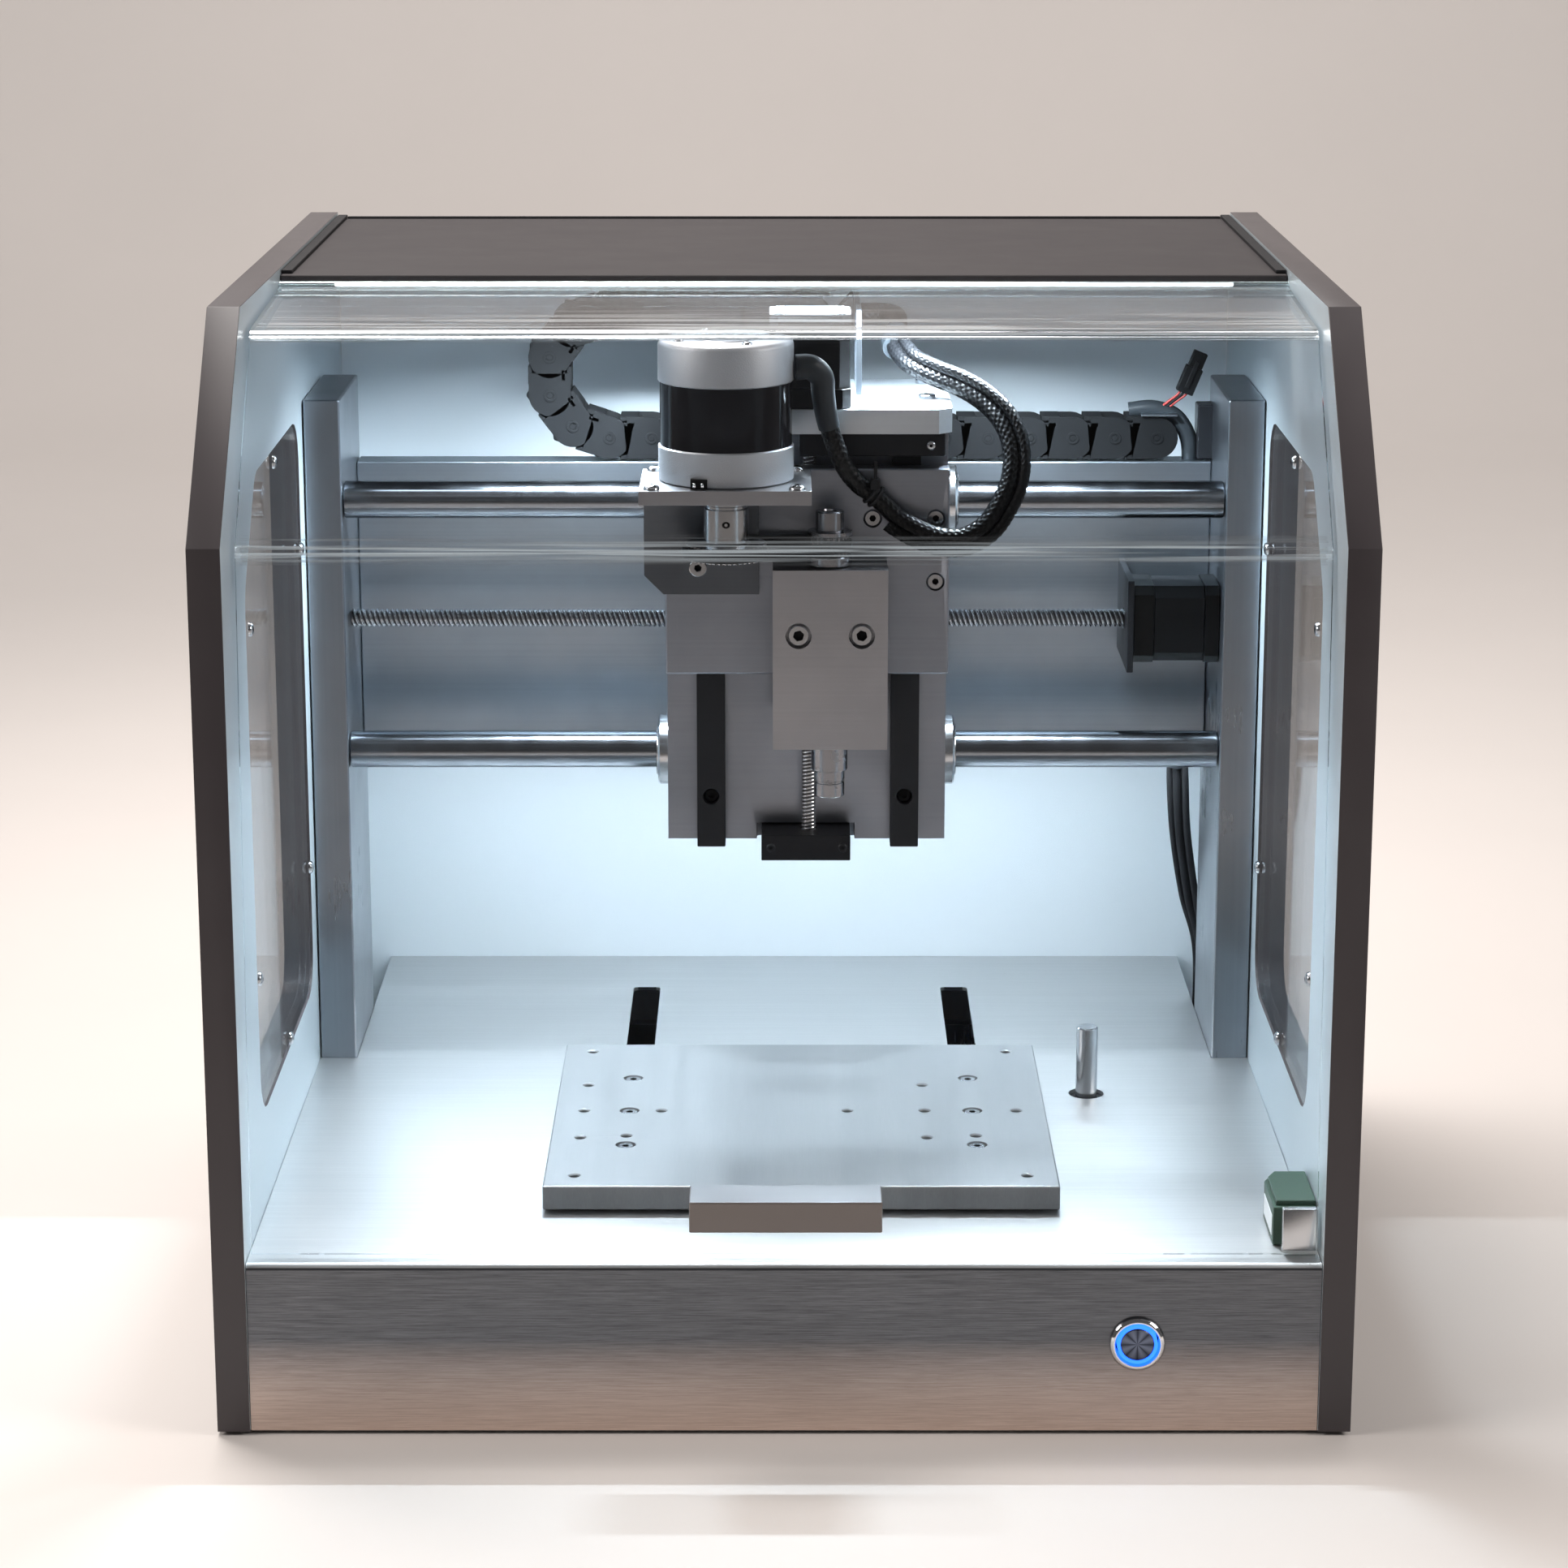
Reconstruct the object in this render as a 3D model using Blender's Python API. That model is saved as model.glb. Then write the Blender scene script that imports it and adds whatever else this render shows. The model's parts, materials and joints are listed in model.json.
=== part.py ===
"""Desktop CNC mill in a windowed enclosure, built as separate parts.

Sizes are in millimetres and are turned into metres where the meshes are made.
Design coordinates: X to the right from the plane of symmetry, Y to the back from the face of the
front panel, Z up from the top face of the deck. The finished model stands on Z = 0, with its
origin at the bottom centre of its box.
"""
import math

import bmesh
import bpy
from mathutils import Matrix, Vector, geometry

MM = 0.001
GAP = 0.3                     # air between neighbouring parts

# Enclosure
DECK_HEIGHT = 84.3            # deck top above the lower edge of the side panels
FOOT_HEIGHT = 2.0
PANEL_INNER_X = 255.4
PANEL_OUTER_X = 271.0
PANEL_FRONT_Y = -2.0
PANEL_REAR_Y = 527.0
PANEL_TOP_Z = 442.7
PANEL_BROW_Z = 344.7          # where the upright front edge ends
PANEL_BROW_Y = 92.0           # where the sloping edge meets the top
HANDLE_FRONT_Y = -15.0
SHEET = 2.0                   # thickness of the deck sheet
BACK_Y = 515.8                # inner face of the back panel
BACK_THICKNESS = 3.0
BASE_THICKNESS = 3.0
BASE_HALF_WIDTH = 254.8
FOOT_X = (210.0, 235.0)
FOOT_Y = (20.0, 495.0)
CONTROL_BOX_X = (132.0, 226.0)
CONTROL_BOX_Y = (330.0, 500.0)
CONTROL_BOX_TOP_Z = -20.0
REAR_CORNER_CUT = 8.0
LED_X = 230.0                  # half length of the light bar
LED_Y = (264.0, 278.0)
LED_THICKNESS = 4.2
DECK_BEND_RADIUS = 3.0
LID_FRONT_Y = 243.5
LID_Z = 435.5
LID_THICKNESS = 4.0

# Side window cut-out, in Y and Z, and its pane
CUTOUT = ((76, 47), (300, 47), (300, 358), (126, 358), (76, 308))
CUTOUT_RADIUS = 22.0
PANE_THICKNESS = 3.0
PANE_INSET = 0.8               # from the panel's inner face
PANE_SCALE = 0.996             # leaves air all round the pane

# Front door: middle line of the bent sheet, in Y and Z
DOOR_LINE = ((9.0, 2.0), (32.5, 333.0), (36.0, 341.0), (107.0, 426.0), (114.0, 428.8), (235.0, 434.4))
DOOR_HALF_WIDTH = 253.5
DOOR_THICKNESS = 3.0
HINGE_Y = 239.4
HINGE_Z = 434.4
HINGE_RADIUS = 2.5
HANDLE_X = (-44.5, 46.1)
HANDLE_Z = (21.4, 36.5)
LATCH_LOW_X = 237.3
LATCH_Z = (2.5, 23.3)
LATCH_THICKNESS = 4.0

# Gantry
COLUMN_X = (235.3, 254.8)
COLUMN_Y = (318.5, 414.0)
COLUMN_TOP_Z = 364.5
BEAM_Y = (395.0, 414.0)
BEAM_Z = (162.0, 319.0)
SHAFT_RADIUS = 10.0
SHAFT_Y = 330.0
LOWER_SHAFT_Z = 172.1
UPPER_SHAFT_Z = 309.3
X_SCREW_Y = 353.0
X_SCREW_Z = 240.0
SCREW_RADIUS = 4.9
MOTOR_WIDTH = 42.3            # stepper motor frame
X_MOTOR_X = 188.7             # mounting face of the X motor

# X carriage
BLOCK_X = (-62.0, 86.0)
BLOCK_Y = 292.0
BLOCK_Z = (131.8, 355.0)
BEARING_RADIUS = 15.0
COLLAR_RADIUS = 18.9
COLLAR_LENGTH = 6.3
RAIL_CENTRES_X = (-38.7, 64.0)
RAIL_WIDTH = 15.0
RAIL_Y = (279.7, 291.7)
RAIL_Z = (130.5, 346.0)
Z_SCREW_X = 13.0
Z_SCREW_Y = 284.0
Z_SCREW_RADIUS = 4.0
FOOT_BEARING_X = (-12.0, 35.2)
FOOT_BEARING_Y = (268.0, 298.0)
FOOT_BEARING_Z = (126.0, 139.8)
TOP_PLATE_Z = (355.3, 368.0)
Z_MOTOR_HEIGHT = 48.0

# Z carriage
PLATE_Y = (263.0, 276.0)
PLATE_Z = (228.3, 337.2)
GUIDE_Z = (236.0, 330.0)
SPINDLE_X = 23.6
SPINDLE_Y = 248.0
SPINDLE_BLOCK_X = (-5.8, 53.5)
SPINDLE_BLOCK_Z = (194.8, 289.4)
SPINDLE_BLOCK_DEPTH = 30.0
SPINDLE_BORE_RADIUS = 8.3
GUIDE_HALF_WIDTH = 16.0
HUB_HOLE_RADIUS = 12.5
BRACKET_WEB_Y = 257.6          # front face of the web under the flange
SPINDLE_MOTOR_X = -29.5
SPINDLE_MOTOR_Y = 233.0
SPINDLE_MOTOR_RADIUS = 34.5
FLANGE_X = (-72.9, 13.8)
FLANGE_Y = (194.0, 262.7)
FLANGE_Z = (330.0, 337.2)
BELT_Z = (297.0, 303.0)
BELT_THICKNESS = 1.5
BIG_PULLEY_RADIUS = 21.0
SMALL_PULLEY_RADIUS = 9.5

# Worktable and Y drive
TABLE_X = (-118.5, 135.5)
TABLE_Y = (71.0, 299.6)
TABLE_Z = (1.5, 13.7)
SLOT_CENTRES_X = (-79.7, 98.7)
SLOT_WIDTH = 15.6
SLOT_Y = (100.0, 452.0)
POST_WIDTH = 10.0
Y_SHAFT_CENTRES_X = (-62.0, 80.0)
Y_SHAFT_RADIUS = 8.0
Y_DRIVE_X = 9.0
Y_DRIVE_Z = -52.0

POST_Y = (150.0, 225.0)
SADDLE_X = (-94.0, 113.0)      # also the width of the end blocks
SADDLE_Y = (130.0, 250.0)
SADDLE_Z = (-64.0, -26.0)
FRONT_BLOCK_Y = (52.0, 62.0)
REAR_BLOCK_Y = (488.0, 498.0)
END_BLOCK_TOP_Z = -34.0
Y_MOTOR_LENGTH = 44.0

# Tool setter, power button and interlock
SETTER_X = 161.8
SETTER_Y = 256.5
SETTER_HOLE_RADIUS = 9.4
PIN_RADIUS = 5.7
BUTTON_X = 168.2
BUTTON_Z = -39.8
BUTTON_HOLE_RADIUS = 11.2
INTERLOCK_X = 234.4            # side that faces the middle of the deck
INTERLOCK_Y = (25.3, 72.6)
INTERLOCK_TOP_Z = 22.0

# Cable chain
CHAIN_Y = (396.0, 418.0)
CHAIN_HEIGHT = 24.0
CHAIN_LOW_Z = 319.8           # underside of the lower run
CHAIN_BEND_X = -96.0
CHAIN_BEND_RADIUS = 34.0      # of the links' middle line
CHAIN_FIXED_X = 215.0
CHAIN_PLATE_X = (38.0, 41.0)

# Spindle cable: the route's own points, from the motor to the plate at the chain's end
CABLE_RADIUS = 5.0
CABLE_ROUTE = (
    (6.0, 233.2, 394), (13.5, 233.6, 394), (19, 236.5, 388.5), (20, 240, 379), (22, 245, 366),
    (26, 249, 352.3), (31.5, 252, 339.5),
    (38.5, 254.5, 330.5), (46, 255.5, 325), (53, 256, 318.5), (60.4, 255, 312.2), (72.9, 252, 306),
    (83.5, 250, 303.4), (94, 250, 304.2), (104.3, 252, 310.4), (111.5, 256, 320.3),
    (116.2, 260, 330.2), (118, 265, 341), (116.6, 271, 352), (111.5, 278, 361.5), (103, 286, 369),
    (92, 294, 374.8), (79, 303, 379), (68, 314, 383), (62, 328, 387), (59, 345, 391),
    (60.5, 363, 395), (62, 381, 398.3), (60.5, 397, 399.8), (55, 405.5, 400), (48.5, 407, 400), (42.2, 407, 400),
)
CABLE_STEP = 7.0

ROUND = 24                    # sides of a full circle

ORIGIN_Y = (HANDLE_FRONT_Y + PANEL_REAR_Y) / 2
BASE_Z = -DECK_HEIGHT
FLOOR_Z = BASE_Z - FOOT_HEIGHT


def place(x, y, z):
    """Design millimetres to world metres."""
    return Vector((x, y - ORIGIN_Y, z - FLOOR_Z)) * MM


def finish(name, color, roughness, metallic, alpha=1.0):
    """A plain surface finish."""
    made = bpy.data.materials.new(name)
    made.use_nodes = True
    shader = made.node_tree.nodes["Principled BSDF"]
    shader.inputs["Base Color"].default_value = (*color, 1.0)
    shader.inputs["Roughness"].default_value = roughness
    shader.inputs["Metallic"].default_value = metallic
    shader.inputs["Alpha"].default_value = alpha
    return made


def finishes():
    """Every finish that the machine uses."""
    return {
        "charcoal": finish("charcoal_paint", (0.055, 0.048, 0.05), 0.45, 0.0),
        "brushed": finish("brushed_aluminium", (0.6, 0.61, 0.62), 0.32, 1.0),
        "milled": finish("milled_aluminium", (0.46, 0.49, 0.52), 0.38, 1.0),
        "steel": finish("polished_steel", (0.72, 0.73, 0.75), 0.12, 1.0),
        "black": finish("black_metal", (0.02, 0.021, 0.023), 0.4, 0.4),
        "plastic": finish("black_plastic", (0.018, 0.019, 0.021), 0.5, 0.0),
        "rubber": finish("black_rubber", (0.012, 0.012, 0.013), 0.8, 0.0),
        "white": finish("white_panel", (0.82, 0.86, 0.88), 0.5, 0.0),
        "clear": finish("clear_sheet", (0.9, 0.95, 0.97), 0.05, 0.0, 0.2),
        "green": finish("green_plastic", (0.05, 0.17, 0.07), 0.45, 0.0),
        "bronze": finish("handle_anodised", (0.17, 0.15, 0.14), 0.4, 0.8),
        "silver": finish("blasted_aluminium", (0.62, 0.64, 0.66), 0.5, 1.0),
        "braid": finish("braided_sleeve", (0.02, 0.02, 0.024), 0.55, 0.0),
        "lamp": finish("light_bar", (0.9, 0.95, 1.0), 0.4, 0.0),
    }


def add_object(name, shape, origin, surface, parent=None):
    """Put a bmesh, measured from its origin, into the scene as one named part."""
    bmesh.ops.recalc_face_normals(shape, faces=shape.faces)
    mesh = bpy.data.meshes.new(name)
    shape.to_mesh(mesh)
    shape.free()
    mesh.materials.append(surface)
    mesh.shade_smooth()
    mesh.set_sharp_from_angle(angle=math.radians(30))
    part = bpy.data.objects.new(name, mesh)
    part.location = place(*origin)
    bpy.context.scene.collection.objects.link(part)
    if parent is not None:
        part.parent = parent
        part.matrix_parent_inverse = Matrix.Translation(-parent.location)
    return part


def axis_empty(name, x, y, z):
    """An empty on a joint's axis, which the moving parts hang from."""
    empty = bpy.data.objects.new(name, None)
    empty.location = place(x, y, z)
    bpy.context.scene.collection.objects.link(empty)
    return empty


def add_bevel(part, width, segments=1):
    """Break the sharp edges."""
    bevel = part.modifiers.new("edge_break", "BEVEL")
    bevel.width = width * MM
    bevel.segments = segments
    bevel.limit_method = "ANGLE"
    bevel.angle_limit = math.radians(40)
    return part


def box(name, x, y, z, surface, parent=None, bevel=0.5):
    """A block between pairs of X, Y and Z."""
    shape = bmesh.new()
    bmesh.ops.create_cube(shape, size=1.0)
    size = Vector((x[1] - x[0], y[1] - y[0], z[1] - z[0])) * MM
    bmesh.ops.scale(shape, vec=size, verts=shape.verts)
    middle = ((x[0] + x[1]) / 2, (y[0] + y[1]) / 2, (z[0] + z[1]) / 2)
    part = add_object(name, shape, middle, surface, parent)
    if bevel:
        add_bevel(part, bevel)
    return part


def circle(centre_a, centre_b, radius, sides=ROUND):
    """A closed loop of points on a circle."""
    turn = 2 * math.pi / sides
    return [(centre_a + radius * math.cos(turn * i), centre_b + radius * math.sin(turn * i))
            for i in range(sides)]


def rounded(corners, radius, steps=4):
    """The outline through the corners, with each corner rounded by an arc."""
    points = []
    count = len(corners)
    for i in range(count):
        corner = Vector(corners[i])
        to_last = (Vector(corners[i - 1]) - corner).normalized()
        to_next = (Vector(corners[(i + 1) % count]) - corner).normalized()
        half = to_last.angle(to_next) / 2
        middle = corner + (to_last + to_next).normalized() * radius / math.sin(half)
        start = corner + to_last * radius / math.tan(half) - middle
        end = corner + to_next * radius / math.tan(half) - middle
        sweep = math.copysign(math.pi - 2 * half, start.x * end.y - start.y * end.x)
        for step in range(steps + 1):
            arm = Matrix.Rotation(sweep * step / steps, 2) @ start
            points.append(tuple(middle + arm))
    return points


def prism(name, axis, outline, span, surface, holes=(), parent=None):
    """An outline, with any holes, pushed along an axis.

    The outline is in Y and Z for axis X, in X and Z for axis Y, and in X and Y for axis Z.
    """
    def point(pair, along):
        if axis == "X":
            return Vector((along, pair[0], pair[1]))
        if axis == "Y":
            return Vector((pair[0], along, pair[1]))
        return Vector((pair[0], pair[1], along))

    middle = (point(outline[0], span[0]) + point(outline[len(outline) // 2], span[1])) / 2
    shape = bmesh.new()
    loops = [outline, *holes]
    ends = []
    for along in span:
        ends.append([shape.verts.new((point(pair, along) - middle) * MM)
                     for loop in loops for pair in loop])
    flat = [[Vector((pair[0], pair[1], 0)) for pair in loop] for loop in loops]
    for triangle in geometry.tessellate_polygon(flat):
        for end in ends:
            shape.faces.new([end[i] for i in triangle])
    first = 0
    for loop in loops:
        count = len(loop)
        for i in range(count):
            a = first + i
            b = first + (i + 1) % count
            shape.faces.new([ends[0][a], ends[0][b], ends[1][b], ends[1][a]])
        first += count
    return add_object(name, shape, tuple(middle), surface, parent)


def turned(name, axis, centre, profile, surface, parent=None, closed=False, sides=ROUND):
    """A profile of (radius, position) pairs spun round an axis through the centre.

    An open profile starts and ends on the axis; a closed one is the section of a ring.
    """
    shape = bmesh.new()
    rings = []
    for radius, along in profile:
        if radius == 0:
            rings.append([shape.verts.new(Vector((0, 0, along)) * MM)])
        else:
            rings.append([shape.verts.new(Vector((a, b, along)) * MM)
                          for a, b in circle(0, 0, radius, sides)])
    pairs = list(zip(rings, rings[1:]))
    if closed:
        pairs.append((rings[-1], rings[0]))
    for low, high in pairs:
        for i in range(sides):
            j = (i + 1) % sides
            if len(low) == 1:
                shape.faces.new([low[0], high[i], high[j]])
            elif len(high) == 1:
                shape.faces.new([low[i], low[j], high[0]])
            else:
                shape.faces.new([low[i], low[j], high[j], high[i]])
    quarter = math.pi / 2
    turn = {
        "X": Matrix.Rotation(quarter, 4, "Y"),
        "Y": Matrix.Rotation(-quarter, 4, "X"),
        "Z": Matrix.Identity(4),
    }[axis]
    bmesh.ops.transform(shape, matrix=turn, verts=shape.verts)
    return add_object(name, shape, centre, surface, parent)


def rod(name, axis, centre, radius, span, surface, parent=None):
    """A plain round bar from one position to another along its axis."""
    profile = ((0, span[0]), (radius, span[0]), (radius, span[1]), (0, span[1]))
    return turned(name, axis, centre, profile, surface, parent)


def combine(part, tools, operation="DIFFERENCE"):
    """Cut the tools from the part, or join them to it, and leave them out of the model."""
    for tool in tools:
        step = part.modifiers.new(tool.name, "BOOLEAN")
        step.operation = operation
        step.object = tool
        step.solver = "EXACT"
        tool.hide_render = True
        tool.display_type = "WIRE"
    return part


def offset_line(line, distance):
    """The open line moved sideways, to its left, with mitred corners."""
    points = [Vector(pair) for pair in line]
    moved = []
    for i, point in enumerate(points):
        before = (point - points[max(i - 1, 0)]).normalized()
        after = (points[min(i + 1, len(points) - 1)] - point).normalized()
        along = (before + after).normalized()
        across = Vector((-along.y, along.x))
        last = after if after.length > 0 else before
        shrink = across.dot(Vector((-last.y, last.x)))
        moved.append(tuple(point + across * distance / shrink))
    return moved


def belt_outline(big, big_radius, small, small_radius, steps=12):
    """The closed line of a belt drawn tight round two circles."""
    start = Vector(big)
    span = Vector(small) - start
    base = math.atan2(span.y, span.x)
    lean = math.acos((big_radius - small_radius) / span.length)
    points = []
    for centre, radius, first, last in (
            (start, big_radius, base + lean, base + 2 * math.pi - lean),
            (Vector(small), small_radius, base - lean, base + lean)):
        for i in range(steps + 1):
            angle = first + (last - first) * i / steps
            points.append((centre.x + radius * math.cos(angle), centre.y + radius * math.sin(angle)))
    return points


def motor_outline(centre_a, centre_b):
    """The square section of a stepper motor with its cut corners."""
    half = MOTOR_WIDTH / 2
    cut = 4.5
    corners = []
    for a, b in ((1, 1), (-1, 1), (-1, -1), (1, -1)):
        first = (centre_a + a * half, centre_b + b * (half - cut))
        second = (centre_a + a * (half - cut), centre_b + b * half)
        corners += [first, second] if a * b > 0 else [second, first]
    return corners


def smooth_route(points, step):
    """Points at even steps along a Catmull-Rom curve through the route."""
    knots = [Vector(point) for point in points]
    knots = [2 * knots[0] - knots[1], *knots, 2 * knots[-1] - knots[-2]]
    fine = []
    parts = 12
    for i in range(1, len(knots) - 2):
        p0, p1, p2, p3 = knots[i - 1:i + 3]
        for k in range(parts):
            t = k / parts
            fine.append(0.5 * (2 * p1 + (p2 - p0) * t + (2 * p0 - 5 * p1 + 4 * p2 - p3) * t * t
                               + (3 * p1 - p0 - 3 * p2 + p3) * t ** 3))
    fine.append(knots[-2])
    lengths = [0.0]
    for a, b in zip(fine, fine[1:]):
        lengths.append(lengths[-1] + (b - a).length)
    count = round(lengths[-1] / step)
    even = []
    at = 0
    for i in range(count + 1):
        want = lengths[-1] * i / count
        while at < len(fine) - 2 and lengths[at + 1] < want:
            at += 1
        share = (want - lengths[at]) / (lengths[at + 1] - lengths[at])
        even.append(fine[at].lerp(fine[at + 1], share))
    return even


def tube(name, route, radius, surface, parent):
    """A closed tube along the route, with its origin at the route's start."""
    start = Vector(route[0])
    curve = bpy.data.curves.new(name, "CURVE")
    curve.dimensions = "3D"
    curve.bevel_depth = radius * MM
    curve.bevel_resolution = 2
    curve.use_fill_caps = True
    spline = curve.splines.new("POLY")
    points = smooth_route(route, CABLE_STEP)
    spline.points.add(len(points) - 1)
    for knot, point in zip(spline.points, points):
        knot.co = (*((point - start) * MM), 1.0)
    curve.materials.append(surface)
    part = bpy.data.objects.new(name, curve)
    part.location = place(*start)
    bpy.context.scene.collection.objects.link(part)
    part.parent = parent
    part.matrix_parent_inverse = Matrix.Translation(-parent.location)
    return part


def build_base(look):
    """Base plate, foot strips and the controller box under the deck."""
    box("base_plate", (-BASE_HALF_WIDTH, BASE_HALF_WIDTH), (SHEET + GAP, BACK_Y - GAP), (BASE_Z, BASE_Z + BASE_THICKNESS),
        look["black"], bevel=0)
    for name, side in (("left_foot_strip", -1), ("right_foot_strip", 1)):
        inner, outer = sorted(side * x for x in FOOT_X)
        box(name, (inner, outer), FOOT_Y, (FLOOR_Z, BASE_Z - GAP), look["rubber"], bevel=0)
    box("control_box", CONTROL_BOX_X, CONTROL_BOX_Y, (BASE_Z + BASE_THICKNESS + GAP, CONTROL_BOX_TOP_Z),
        look["black"], bevel=1)


def build_side_panels(look):
    """The two thick side panels with their window panes."""
    outline = (
        (PANEL_FRONT_Y, BASE_Z), (PANEL_REAR_Y, BASE_Z), (PANEL_REAR_Y, PANEL_TOP_Z - REAR_CORNER_CUT),
        (PANEL_REAR_Y - REAR_CORNER_CUT, PANEL_TOP_Z), (PANEL_BROW_Y, PANEL_TOP_Z), (PANEL_FRONT_Y, PANEL_BROW_Z),
    )
    cutout = rounded(CUTOUT, CUTOUT_RADIUS)
    middle_y = sum(y for y, z in cutout) / len(cutout)
    middle_z = sum(z for y, z in cutout) / len(cutout)
    pane = [(middle_y + (y - middle_y) * PANE_SCALE, middle_z + (z - middle_z) * PANE_SCALE)
            for y, z in cutout]
    for side, sign in (("left", -1), ("right", 1)):
        span = sorted((sign * PANEL_INNER_X, sign * PANEL_OUTER_X))
        panel = prism(side + "_side_panel", "X", outline, span, look["charcoal"], holes=(cutout,))
        add_bevel(panel, 0.8)
        pane_in = PANEL_INNER_X + PANE_INSET
        span = sorted((sign * pane_in, sign * (pane_in + PANE_THICKNESS)))
        prism(side + "_side_window", "X", pane, span, look["clear"])


def build_deck(look):
    """One bent sheet that is the deck and the front panel, with its openings."""
    bend = DECK_BEND_RADIUS
    outer = [(bend - bend * math.sin(a), -bend + bend * math.cos(a))
             for a in (math.radians(step * 22.5) for step in range(5))]
    inner_bend = bend - SHEET
    inner = [(bend - inner_bend * math.cos(a), -bend + inner_bend * math.sin(a))
             for a in (math.radians(step * 22.5) for step in range(5))]
    rear = BACK_Y - GAP
    outline = [(rear, 0), *outer, (0, BASE_Z), (SHEET, BASE_Z), *inner, (rear, -SHEET)]
    half = PANEL_INNER_X - GAP
    deck = prism("deck_pan", "X", outline, (-half, half), look["brushed"])
    tools = []
    for i, centre in enumerate(SLOT_CENTRES_X):
        edge = SLOT_WIDTH / 2
        corners = ((centre - edge, SLOT_Y[0]), (centre + edge, SLOT_Y[0]),
                   (centre + edge, SLOT_Y[1]), (centre - edge, SLOT_Y[1]))
        tools.append(prism(f"slot_cutter_{i}", "Z", rounded(corners, 2.5, 2), (-10, 10), look["black"]))
    notch_x = COLUMN_X[0] - GAP
    for i, sign in enumerate((-1, 1)):
        span = sorted((sign * notch_x, sign * (half + 10)))
        tools.append(box(f"notch_cutter_{i}", span, (COLUMN_Y[0] - GAP, rear + 10), (-10, 10),
                         look["black"], bevel=0))
    tools.append(rod("setter_cutter", "Z", (SETTER_X, SETTER_Y, 0), SETTER_HOLE_RADIUS, (-10, 10),
                     look["black"]))
    tools.append(rod("button_cutter", "Y", (BUTTON_X, 0, BUTTON_Z), BUTTON_HOLE_RADIUS, (-10, 10),
                     look["black"]))
    combine(deck, tools)


def build_covers(look):
    """Back panel, top lid and the light bar under the lid."""
    half = PANEL_INNER_X - GAP
    box("back_panel", (-half, half), (BACK_Y, BACK_Y + BACK_THICKNESS), (BASE_Z, LID_Z - GAP),
        look["white"], bevel=0)
    box("top_lid", (-half, half), (LID_FRONT_Y, BACK_Y + BACK_THICKNESS), (LID_Z, LID_Z + LID_THICKNESS),
        look["charcoal"], bevel=0.6)
    top = LID_Z - GAP
    box("led_strip", (-LED_X, LED_X), LED_Y, (top - LED_THICKNESS, top), look["lamp"], bevel=0.6)


def build_door(look):
    """Clear front door, bent twice, with its handle, latch plate and hinge rod."""
    hinge = axis_empty("door_hinge_axis", 0, HINGE_Y, HINGE_Z)
    outer = offset_line(DOOR_LINE, DOOR_THICKNESS / 2)
    inner = offset_line(DOOR_LINE, -DOOR_THICKNESS / 2)
    prism("window_sheet", "X", outer + inner[::-1], (-DOOR_HALF_WIDTH, DOOR_HALF_WIDTH),
          look["clear"], parent=hinge)
    rod("hinge_rod", "X", (0, HINGE_Y, HINGE_Z), HINGE_RADIUS,
        (GAP - PANEL_INNER_X, PANEL_INNER_X - GAP), look["steel"], parent=hinge)

    def face(line, z):
        """Y of the sheet's face at a height on its lower, upright stretch."""
        (y0, z0), (y1, z1) = line[0], line[1]
        return y0 + (y1 - y0) * (z - z0) / (z1 - z0)

    low, high = HANDLE_Z
    section = ((HANDLE_FRONT_Y, low), (face(outer, low) - GAP, low),
               (face(outer, high) - GAP, high), (HANDLE_FRONT_Y, high))
    handle = prism("door_handle", "X", section, HANDLE_X, look["bronze"], parent=hinge)
    add_bevel(handle, 0.5)
    low, high = LATCH_Z
    near = face(inner, low) + GAP
    far = face(inner, high) + GAP
    section = ((near, low), (near + LATCH_THICKNESS, low), (far + LATCH_THICKNESS, high), (far, high))
    latch = prism("latch_plate", "X", section, (LATCH_LOW_X, DOOR_HALF_WIDTH), look["steel"],
                  parent=hinge)
    add_bevel(latch, 0.4)


def build_gantry(look):
    """Columns, beam, X shafts, and the X motor with its bracket."""
    low = BASE_Z + BASE_THICKNESS + GAP
    for side, sign in (("left", -1), ("right", 1)):
        span = sorted((sign * COLUMN_X[0], sign * COLUMN_X[1]))
        box(side + "_column", span, COLUMN_Y, (low, COLUMN_TOP_Z), look["milled"], bevel=0.8)
    inner = COLUMN_X[0] - GAP
    box("cross_beam", (-inner, inner), BEAM_Y, BEAM_Z, look["milled"], bevel=0.6)
    rod("upper_x_shaft", "X", (0, SHAFT_Y, UPPER_SHAFT_Z), SHAFT_RADIUS, (-inner, inner), look["steel"])
    rod("lower_x_shaft", "X", (0, SHAFT_Y, LOWER_SHAFT_Z), SHAFT_RADIUS, (-inner, inner), look["steel"])
    prism("x_motor", "X", motor_outline(X_SCREW_Y, X_SCREW_Z), (X_MOTOR_X, inner), look["black"])
    edge = MOTOR_WIDTH / 2 + 4
    outline = ((X_SCREW_Y - edge, X_SCREW_Z - edge), (BEAM_Y[0] - GAP, X_SCREW_Z - edge),
               (BEAM_Y[0] - GAP, X_SCREW_Z + edge), (X_SCREW_Y - edge, X_SCREW_Z + edge))
    prism("x_motor_bracket", "X", outline, (X_MOTOR_X - 3.7, X_MOTOR_X - GAP), look["milled"],
          holes=(circle(X_SCREW_Y, X_SCREW_Z, SCREW_RADIUS + 0.6),))


def build_x_screw(look):
    """The X leadscrew, with its origin on its own axis."""
    inner = COLUMN_X[0] - GAP
    rod("x_screw", "X", (0, X_SCREW_Y, X_SCREW_Z), SCREW_RADIUS, (-inner, X_MOTOR_X - GAP), look["steel"])


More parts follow.
